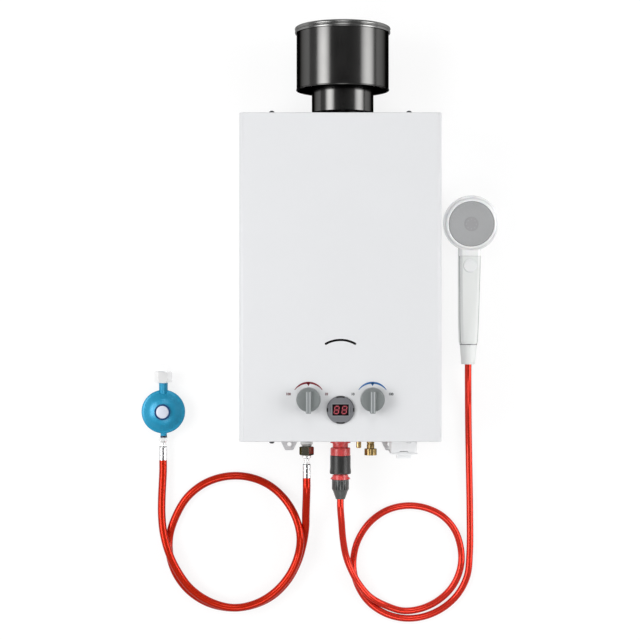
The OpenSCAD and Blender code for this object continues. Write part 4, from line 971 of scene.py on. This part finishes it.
@dataclass
class Casing:
    """The white casing and its printed marks."""

    arc_radius: float = 24.8
    arc_half: float = 55.0  # half the angle that a crescent covers
    arc_width: float = 2.2
    arc_tip: float = 0.8
    pointer_radius: float = 3.4
    print_height: float = 0.06
    print_size: float = 4.9
    print_weight: float = 0.22
    print_y: float = -172.0

    def arc(self, name: str, x: float, finish: Finish) -> None:
        """Prints a crescent over a knob, thickest at its top.

        Args:
            name: The piece's name.
            x: The knob's place across the casing.
            finish: The print's colour.
        """
        bm = bmesh.new()
        ends = [bm.verts.new((r, 0, 0)) for r in (self.arc_radius, self.arc_radius + 1)]
        edge = bm.edges.new(ends)
        bmesh.ops.spin(
            bm, geom=[*ends, edge], cent=(0, 0, 0), axis=(0, 0, 1),
            angle=math.radians(2 * self.arc_half), steps=48,
        )
        for vert in bm.verts:
            angle = math.atan2(vert.co.y, vert.co.x)
            lean = abs(math.degrees(angle) - self.arc_half) / self.arc_half
            width = self.arc_width * (1 - lean**2) + self.arc_tip
            outside = vert.co.xy.length > self.arc_radius + 0.5
            radius = self.arc_radius + (width / 2 if outside else -width / 2)
            vert.co.x = radius * math.cos(angle)
            vert.co.y = radius * math.sin(angle)
        thicken(bm, self.print_height)
        place = move(x, KNOB_Y, FRONT) @ turn(90 - self.arc_half, "Z")
        dress(to_object(bm, name, place), finish)

    def pointer(self, name: str, x: float, finish: Finish) -> None:
        """Prints the small triangle under the middle of a crescent.

        Args:
            name: The piece's name.
            x: The knob's place across the casing.
            finish: The print's colour.
        """
        bm = bmesh.new()
        bmesh.ops.create_circle(bm, cap_ends=True, segments=3, radius=self.pointer_radius)
        thicken(bm, self.print_height)
        y = KNOB_Y + self.arc_radius - self.pointer_radius / 2
        dress(to_object(bm, name, move(x, y, FRONT) @ turn(180, "Z")), finish)

    def number(self, name: str, words: str, x: float, finish: Finish) -> None:
        """Prints a plain number beside a knob.

        Args:
            name: The piece's name.
            words: The number.
            x: The middle of the number across the casing.
            finish: The print's colour.
        """
        data = bpy.data.curves.new(name, "FONT")
        data.body = words
        data.size = self.print_size
        data.align_x = data.align_y = "CENTER"
        data.extrude = self.print_height / 2
        data.offset = self.print_weight
        text = add_object(name + "_text", data)
        bpy.context.view_layer.update()
        solid = bpy.data.meshes.new_from_object(
            text.evaluated_get(bpy.context.evaluated_depsgraph_get())
        )
        bm = bmesh.new()
        bm.from_mesh(solid)
        bpy.data.objects.remove(text)
        bpy.data.meshes.remove(solid)
        place = move(x, self.print_y, FRONT + self.print_height / 2)
        dress(to_object(bm, name, place), finish)

    def screws(self) -> None:
        """Blackens the cover's screws but one, which is coated like the casing."""
        made = skin("cover_screws", BLACK_STEEL, angle=40)
        made.data.materials.append(COATED.material())
        for face in made.data.polygons:
            if face.center.x > 0 and face.center.y < 0:
                face.material_index = 1

    def build(self) -> None:
        """Dresses the casing and prints its marks."""
        for node, bevel in (
            ("front_cover", 0.25), ("back_plate", 0.2), ("top_panel", 0.0),
            ("bottom_panel", 0.0),
        ):
            skin(node, COATED, bevel=bevel, angle=40)
        self.screws()
        skin("sight_glass", SMOKED)
        knobs = (("gas", -KNOB_X, PRINT_RED), ("water", KNOB_X, PRINT_BLUE))
        for knob, x, finish in knobs:
            self.arc(knob + "_arc", x, finish)
        for knob, x, finish in knobs:
            self.pointer(knob + "_arc_pointer", x, finish)
        for name, words, x, finish in (
            ("gas_number_high", "100", -76.6, PRINT_DARK_RED),
            ("gas_number_low", "10", -20.9, PRINT_DARK_RED),
            ("water_number_low", "10", 18.1, PRINT_GREY),
            ("water_number_high", "100", 74.1, PRINT_GREY),
        ):
            self.number(name, words, x, finish)


@dataclass
class Controls:
    """The knobs and the round display between them."""

    display_y: float = -195.0
    bezel_top: float = 3.5
    glass_z: float = 140.9
    digit_w: float = 6.2
    digit_h: float = 11.0
    digit_gap: float = 11.4  # between the middles of the two digits
    digit_lean: float = 9.0
    digit_rise: float = 0.08
    bar_gap: float = 0.5
    stroke: float = 1.0
    window: Pair = (24.0, 16.5)
    rim: float = 1.1  # of the window's frame, past the window
    rim_w: float = 0.9
    rim_rise: float = 0.15
    glow_spread: float = 2.4
    glow_rise: float = 0.006
    strip_z: float = FRONT + 22.3
    strip_length: float = 31.0
    strip_drop: float = 3.2
    strip_rise: float = 0.12
    # Sections of the black strips in the bezel's notches, which are painted shade, and of its
    # darker tabs, as radius and height over the front.
    notch_shade: tuple[Pair, ...] = (
        (18.2, 0.1), (20.56, 0.1), (20.56, 1.7), (19.15, 3.58), (18.2, 3.58)
    )
    tab: tuple[Pair, ...] = (
        (14.7, 3.38), (15.4, 3.38), (15.4, 3.58), (14.7, 3.58)
    )

    def segment(
        self, bm: bmesh.types.BMesh, x: float, y: float, length: float, upright: bool
    ) -> None:
        """Adds one pointed bar of a digit.

        Args:
            bm: The digit's mesh.
            x, y: The bar's middle.
            length: Its length, point to point.
            upright: True for a bar along Y.
        """
        made = bmesh.ops.create_circle(bm, cap_ends=True, segments=6, radius=1)
        half = self.stroke / 2
        for vert in made["verts"]:
            tip = abs(vert.co.x) > 0.9
            reach = length / 2 if tip else length / 2 - half
            along = math.copysign(reach, vert.co.x)
            across = 0.0 if tip else math.copysign(half, vert.co.y)
            vert.co.x, vert.co.y = (across, along) if upright else (along, across)
            vert.co.x += x
            vert.co.y += y

    def digit(self, name: str, x: float) -> None:
        """Lights all seven segments of a digit, leaning a little to the right.

        Args:
            name: The piece's name.
            x: The digit's middle across the casing.
        """
        bm = bmesh.new()
        w = self.digit_w / 2
        h = self.digit_h / 2
        for y in (-h, 0, h):
            self.segment(bm, 0, y, 2 * w - self.bar_gap, False)
        for side in (-w, w):
            for y in (-h / 2, h / 2):
                self.segment(bm, side, y, h - self.bar_gap, True)
        lean = Matrix.Identity(4)
        lean[0][1] = math.tan(math.radians(self.digit_lean))
        thicken(bm, self.digit_rise)
        place = move(x, self.display_y, self.glass_z + 0.01) @ lean
        dress(to_object(bm, name, place), LIT_RED)

    def part_ring(
        self, name: str, profile: Outline, middle: float, spread: float, finish: Finish
    ) -> None:
        """Lays a part of a ring on the bezel.

        Args:
            name: The piece's name.
            profile: Its section, as radius and height over the casing's front.
            middle: Its direction from the display's middle, in degrees.
            spread: Half the angle that it covers.
            finish: Its finish.
        """
        bm = bmesh.new()
        sector(bm, profile, middle, spread)
        dress(to_object(bm, name, move(0, self.display_y, FRONT)), finish)

    def window_frame(self) -> None:
        """Lays the paler frame round the window and the dark red glow in it."""
        wide, tall = (side + 2 * self.rim for side in self.window)
        bm = bmesh.new()
        bmesh.ops.create_grid(bm, x_segments=1, y_segments=1, size=0.5)
        bmesh.ops.scale(bm, vec=(wide, tall, 1), verts=bm.verts)
        bmesh.ops.inset_region(
            bm, faces=list(bm.faces), thickness=self.rim_w, use_boundary=True
        )
        middle = min(bm.faces, key=lambda f: f.calc_center_median().length)
        bmesh.ops.delete(bm, geom=[middle], context="FACES")
        thicken(bm, self.rim_rise)
        place = move(0, self.display_y, FRONT + self.bezel_top)
        dress(to_object(bm, "window_frame", place), BEZEL_PALE)
        for name, side in (("glow_left", -1), ("glow_right", 1)):
            sizes = (self.digit_w + self.glow_spread, self.digit_h + self.glow_spread)
            place = move(side * self.digit_gap / 2, self.display_y, self.glass_z)
            dress(to_object(stadium(*sizes, self.glow_rise), name, place), GLOW_RED)

    def knob(self, name: str, x: float, body: str) -> None:
        """Lays a lighter strip along a knob's bar and two pale lines near its edges, which are
        painted highlights on the bar's edges.

        Args:
            name: The knob's name.
            x: Its place across the casing.
            body: The CAD body that it turns with.
        """
        # the two pale lines are painted highlights on the bar's edges
        for part, side, width, finish in (
            ("bar_strip", 0.0, 3.0, BAR_STRIP_GREY),
            ("highlight_left", -2.3, 1.0, PAINTED_BAR_HIGHLIGHT),
            ("highlight_right", 2.3, 1.0, PAINTED_BAR_HIGHLIGHT),
        ):
            strip = stadium(width, self.strip_length, self.strip_rise)
            place = move(x + side, KNOB_Y - self.strip_drop, self.strip_z)
            dress(to_object(strip, f"{name}_{part}", place), finish, body)

    def build(self) -> None:
        """Dresses the knobs, the bezel and the lit digits."""
        knobs = (
            ("gas_knob", -KNOB_X, "gas_control"), ("water_knob", KNOB_X, "water_control")
        )
        for name, _, body in knobs:
            skin(name, KNOB_GREY, body, bevel=0.45)
        for name, x, body in knobs:
            self.knob(name, x, body)
        skin("display_bezel", BEZEL_GREY, bevel=0.3)
        skin("display_window", BLACK_GLOSS, bevel=0.2)
        self.digit("digit_left", -self.digit_gap / 2)
        self.digit("digit_right", self.digit_gap / 2)
        # the black strips in the bezel's four notches are painted shade
        for name, profile, middle, spread, finish in (
            ("bezel_notch_shade_top", self.notch_shade, 90, 18.5, BLACK_MATT),
            ("bezel_notch_shade_bottom", self.notch_shade, 270, 18.5, BLACK_MATT),
            ("bezel_notch_shade_left", self.notch_shade, 180, 8.5, BLACK_MATT),
            ("bezel_notch_shade_right", self.notch_shade, 0, 8.5, BLACK_MATT),
            ("bezel_tab_left", self.tab, 180, 15, BEZEL_DARK),
            ("bezel_tab_right", self.tab, 0, 15, BEZEL_DARK),
        ):
            self.part_ring(name, profile, middle, spread, finish)
        self.window_frame()


@dataclass
class RainCap:
    """The flue's neck and the cap over it, in dark mirror-finish steel."""

    neck_r: float = 46.5
    neck_y: Pair = (242.2, 314.0)
    neck_seam: Pair = (249.0, 313.0)
    drum_r: float = 69.5
    drum_y: Pair = (282.0, 375.0)
    drum_seam: Pair = (284.4, 367.0)
    lid_y: float = 375.3
    sheet: float = 0.8
    bead_r: float = 1.0
    half_width: float = 3.0

    def neck(self) -> None:
        """Rolls the neck out of one sheet."""
        low, high = self.neck_y
        inner = self.neck_r - self.sheet
        tall = high - low
        profile = [
            (inner, 0), (self.neck_r, 0), (self.neck_r, tall), (inner, tall), (inner, 0)
        ]
        place = rising(CAP_X, low, CAP_Z)
        spun("neck_tube", profile, place, DARK_MIRROR, 128, 50, "flue_neck")

    def drum(self) -> None:
        """Rolls the drum, with a wired edge at its lower rim."""
        low, high = self.drum_y
        tall = high - low
        r, inner = self.drum_r, self.drum_r - self.sheet
        b = self.bead_r
        bead = [
            (r - self.sheet / 2 + b * math.cos(a), b + b * math.sin(a))
            for a in (math.radians(d) for d in range(150, -190, -20))
        ]
        profile = [(inner, tall), (inner, 2.0), *bead[::-1], (r, 2.1), (r, tall), (inner, tall)]
        place = rising(CAP_X, low, CAP_Z)
        spun("drum_wall", profile, place, DARK_MIRROR, 160, 50, "cap_drum")

    def lid(self) -> None:
        """Spins the lid with its rolled rim."""
        outline = eased(
            [(0, 5.0), (30, 4.4), (55, 3.2), (66, 2.6), (69.6, 2.0), (71.5, 0.9),
             (72.1, -0.7), (71.8, -2.0), (70.9, -2.9), (70.9, -3.5), (71.7, -4.3),
             (71.9, -6.4), (71.5, -7.5)]
        )
        profile = [*outline, (69.8, -7.5), (69.8, 0), (0, 2.0)]
        place = rising(CAP_X, self.lid_y, CAP_Z)
        spun("lid_pan", profile, place, LID_STEEL, 160, 50, "cap_lid")

    def seam_and_shade_line(self, name: str, radius: float, ends: Pair) -> None:
        """Folds a lock seam down the back of a rolled sheet.

        Args:
            name: The piece's name.
            radius: The sheet's outside radius.
            ends: The seam's ends along Y.
        """
        low, high = ends
        tall = high - low
        inner, outer = radius - 0.2, radius + 0.7
        bm = bmesh.new()
        profile = [(inner, 0), (outer, 0.6), (outer, tall - 0.6), (inner, tall)]
        sector(bm, profile, 90, math.degrees(self.half_width / radius), 6)
        made = to_object(bm, name, rising(CAP_X, low, CAP_Z))
        dress(made, DARK_MIRROR, angle=30)

    def build(self) -> None:
        """Makes the neck, the drum, the lid and their fixings."""
        self.neck()
        self.drum()
        self.lid()
        self.seam_and_shade_line("drum_seam", self.drum_r, self.drum_seam)
        self.seam_and_shade_line("neck_seam", self.neck_r, self.neck_seam)
        skin("flue_collar", DARK_MIRROR, angle=50)
        skin("cap_brackets", STEEL, angle=50)


@dataclass
class Fittings:
    """Everything that hangs below the casing."""

    # Each piece's finish, its edges' rounding and the body that it rides on.
    pieces: dict[str, tuple[Finish, float, str]] = field(
        default_factory=lambda: {
            "gas_inlet": (CAST_ALLOY, 0.6, HEATER),
            "gas_nut": (DARK_NICKEL, 0.3, HEATER),
            "gas_tail": (SATIN_CHROME, 0.2, HEATER),
            "drain_plug": (PLAIN_BRASS, 0.3, HEATER),
            "cold_inlet": (BRASS, 0.15, HEATER),
            "tap_adapter": (RED_PLASTIC, 0.4, HEATER),
            "connector_body": (RED_PLASTIC, 0.3, HEATER),
            "hose_nut": (NUT_GREY, 0.25, HEATER),
            "battery_box": (WHITE_MOULDED, 0.3, HEATER),
            "release_sleeve": (CHARCOAL, 0.3, "sleeve"),
            "battery_lid": (WHITE_MOULDED, 0.4, "battery_door"),
        }
    )
    ferrule_tops: tuple[Point, Point] = ((-50.5, -283.0, 46.0), (-273.0, -259.0, 10.0))
    nut_top: Point = (1.0, -306.2, 46.0)
    nut_r: float = 13.0
    ribs: int = 18

    def ferrules(self) -> None:
        """Spins the two crimped ferrules, with softer crimps than the CAD shape's."""
        side = eased(
            [(6.0, 0.2), (6.3, 1.2), (6.3, 5.4), (6.15, 6.9), (6.15, 8.9), (6.3, 10.4),
             (6.3, 12.7), (6.15, 14.2), (6.15, 16.2), (6.3, 17.7), (6.3, 20.7)]
        )
        profile = [(0, 0), (5.7, 0), *side, (6.0, 21), (0, 21)]
        lip = [(4.5, 0.2), (4.5, -0.1), (5.9, -0.1), (6.1, 0.2), (4.5, 0.2)]
        bm = bmesh.new()
        for number, place in enumerate(self.ferrule_tops):
            part = revolved("ferrule_part", profile, hanging(*place), 64)
            bm.from_mesh(part.data)
            bpy.data.objects.remove(part)
            spun(f"ferrule_lip_{number}", lip, hanging(*place), BLACK_MATT, 48)
        bm.transform(Matrix.Scale(1 / MM, 4))
        made = to_object(bm, "ferrule_pair", Matrix.Identity(4))
        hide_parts("hose_ferrules")
        dress(made, CHROME, angle=40)

    def groove_shade(self) -> None:
        """Fills the grooves between the hose nut's ribs with black strips flush with its
        surface, painted shade in the grooves.
        """
        r = self.nut_r
        groove = [
            (r - 1.2, 2.2), (r - 0.12, 2.6), (r - 0.12, 14.4), (r - 2.1, 18.2),
            (r - 3, 18.2), (r - 1.2, 14.4),
        ]
        bm = bmesh.new()
        for number in range(self.ribs):
            sector(bm, groove, 360 * number / self.ribs, 3.6, 2)
        made = to_object(bm, "hose_nut_groove_shade", hanging(*self.nut_top))
        # the black strips are painted shade in the nut's grooves
        dress(made, BLACK_MATT, angle=30)

    def build(self) -> None:
        """Dresses each fitting with softened edges."""
        self.ferrules()
        self.groove_shade()
        for node, (finish, bevel, body) in self.pieces.items():
            skin(node, finish, body, bevel, 35)


@dataclass
class HandShower:
    """The white hand shower beside the casing."""

    x: float = 201.3
    y: float = 85.0
    lean: float = -0.75
    head_z: float = 36.0
    tilt: float = 12.0
    head_r: float = 43.0
    face_r: float = 34.5
    shade_line_z: float = 25.5
    half_width: float = 0.45
    shade_line_rise: float = 0.06
    shade_line_depth: float = 0.2
    grip_z: float = 17.8
    grip_end: float = -186.2

    def place(self) -> Matrix:
        """Returns the hand shower's own frame."""
        return move(self.x, self.y, 0) @ turn(self.lean, "Z")

    def head(self) -> Matrix:
        """Returns the tilted head's frame."""
        return self.place() @ move(0, 0, self.head_z) @ turn(self.tilt, "X")

    def bowl(self) -> None:
        """Spins the head's round back as one smooth shell."""
        r = self.head_r
        back = eased(
            [(0, -34), (10, -33.2), (19, -30.6), (27, -26.2), (33.6, -20), (38.6, -12.6),
             (41.7, -6), (42.8, -2), (r, 0.4), (r - 0.6, 2.6), (r - 2.6, 4)]
        )
        pocket = self.face_r + 2.4
        profile = [*back, (pocket, 4), (pocket, 0.5), (0, 0.5)]
        spun("head_bowl", profile, self.head(), WHITE_GLOSS, 96, 50)

    def centre(self) -> None:
        """Lays the darker disc in the middle of the spray face."""
        disc = [*eased([(0, 7.75), (8, 7.7), (10.6, 7.5), (11.4, 7.0)]), (0, 7.0)]
        spun("spray_centre", disc, self.head(), FACE_DARK)

    def gap_shade(self) -> None:
        """Sets a thin dark ring in the gap between the ring and the face, as painted shade in
        the gap.
        """
        profile = [(34.55, 1.0), (34.78, 1.0), (34.78, 6.0), (34.55, 6.0), (34.55, 1.0)]
        spun("face_gap_shade", profile, self.head(), SHADE_LINE, 96)

    def seam_and_shade_line(self) -> None:
        """Draws a thin dark line along both sides of the handle, as painted shade at its
        outline.
        """
        bm = bmesh.new()
        bm.from_mesh(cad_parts["shower_handle"].data)
        bm.transform(Matrix.Scale(1 / MM, 4))
        bmesh.ops.remove_doubles(bm, verts=bm.verts, dist=SAME_NODE_POINT / MM)
        for side in (1, -1):
            bmesh.ops.bisect_plane(
                bm, geom=[*bm.verts, *bm.edges, *bm.faces], dist=SAME_POINT,
                plane_co=(0, 0, self.shade_line_z + side * self.half_width), plane_no=(0, 0, 1),
                clear_outer=side > 0, clear_inner=side < 0,
            )
        bm.normal_update()
        stray = [f for f in bm.faces if abs(f.normal.x) < 0.5]
        bmesh.ops.delete(bm, geom=stray, context="FACES")
        for vert in bm.verts:
            vert.co.x += math.copysign(self.shade_line_rise, vert.co.x - self.x)
        bmesh.ops.solidify(bm, geom=list(bm.faces), thickness=self.shade_line_depth)
        bmesh.ops.recalc_face_normals(bm, faces=bm.faces)
        dress(to_object(bm, "handle_shade_line", Matrix.Identity(4)), SHADE_LINE, angle=30)

    def build(self) -> None:
        """Dresses the hand shower."""
        self.bowl()
        self.seam_and_shade_line()
        skin("shower_head", WHITE_GLOSS, bevel=0.2, angle=40)
        skin("shower_handle", WHITE_SHELL, bevel=0.4, angle=40)
        skin("spray_ring", WHITE_GLOSS, bevel=0.4, angle=40)
        skin("spray_face", FACE_GREY, angle=12)
        self.centre()
        self.gap_shade()
        skin("push_button", WHITE_GLOSS, "button", bevel=0.3, angle=40)
        skin("hose_collar", WHITE_SHELL, bevel=0.3, angle=40)
        # a dark ring at the joint of the handle and the hose collar, painted shade in the gap
        ring = [(12.8, -0.2), (13.45, -0.2), (13.45, 1.1), (12.8, 1.1), (12.8, -0.2)]
        place = self.place() @ rising(0, self.grip_end, self.grip_z)
        spun("collar_gap_shade", ring, place, SHADE_LINE)


@dataclass
class Regulator:
    """The round blue gas regulator with its bottle nut."""

    x: float = -272.0
    y: float = -204.5
    outlet_y: float = -244.6
    outlet_z: float = 10.0

    def build(self) -> None:
        """Dresses the regulator, its cap's ring and the blank disc on it."""
        skin("regulator_body", BLUE_LACQUER, bevel=0.3, angle=50)
        skin("regulator_bonnet", BLUE_LACQUER, bevel=0.3, angle=50)
        skin("regulator_tail", SATIN_CHROME, bevel=0.2, angle=35)
        skin("bottle_nut", SATIN_CHROME, "nut", bevel=0.3, angle=35)
        middle = move(self.x, self.y, 0)
        ring = [(9.7, 32.4), (9.9, 33.2), (11.8, 33.2), (12.3, 32.6), (12.3, 31.0), (9.7, 32.4)]
        spun("cap_ring", ring, middle, DEEP_BLUE, angle=50)
        disc = [(0, 32.7), (9.35, 32.7), (9.65, 32.5), (9.65, 32.3), (0, 32.3)]
        spun("cap_disc", disc, middle, PALE_LABEL)
        band = [(5.02, 0), (5.2, 0.2), (5.2, 2.4), (5.02, 2.6), (5.02, 0)]
        spun("outlet_band", band, rising(self.x, self.outlet_y, self.outlet_z), NAVY, 48)


@dataclass
class Inside:
    """The pieces inside the casing, which keep their CAD shapes."""

    finishes: tuple[tuple[Finish, str], ...] = (
        (COPPER, "combustion_chamber fins water_tubes cold_pipe hot_pipe"),
        (STEEL, "flue_hood burner_frame burner_bars gas_pipe battery_contacts"),
        (STEEL, "gas_spindle water_spindle"),
        (CERAMIC, "overheat_switch electrodes"),
        (CAST_ALLOY, "gas_manifold gas_valve"),
        (PLAIN_BRASS, "water_valve"),
        (BLACK_MATT, "micro_switch ignition_box"),
        (BOARD, "display_board"),
        (CELL_WRAP, "battery_cells"),
    )

    def build(self) -> None:
        """Gives each inside piece its finish."""
        for finish, nodes in self.finishes:
            for node in nodes.split():
                for material_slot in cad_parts[node].material_slots:
                    material_slot.material = finish.material()
                LOG.info("node %s: %s", node, finish.name)


def main() -> None:
    """Builds the studio, the hoses and every sub-assembly in order."""
    logging.basicConfig(level=logging.INFO, format="%(name)s: %(message)s")
    for assembly in (
        Studio, Hoses, Casing, Controls, RainCap, Fittings, HandShower, Regulator, Inside
    ):
        assembly().build()


if __name__ == "__main__":
    main()
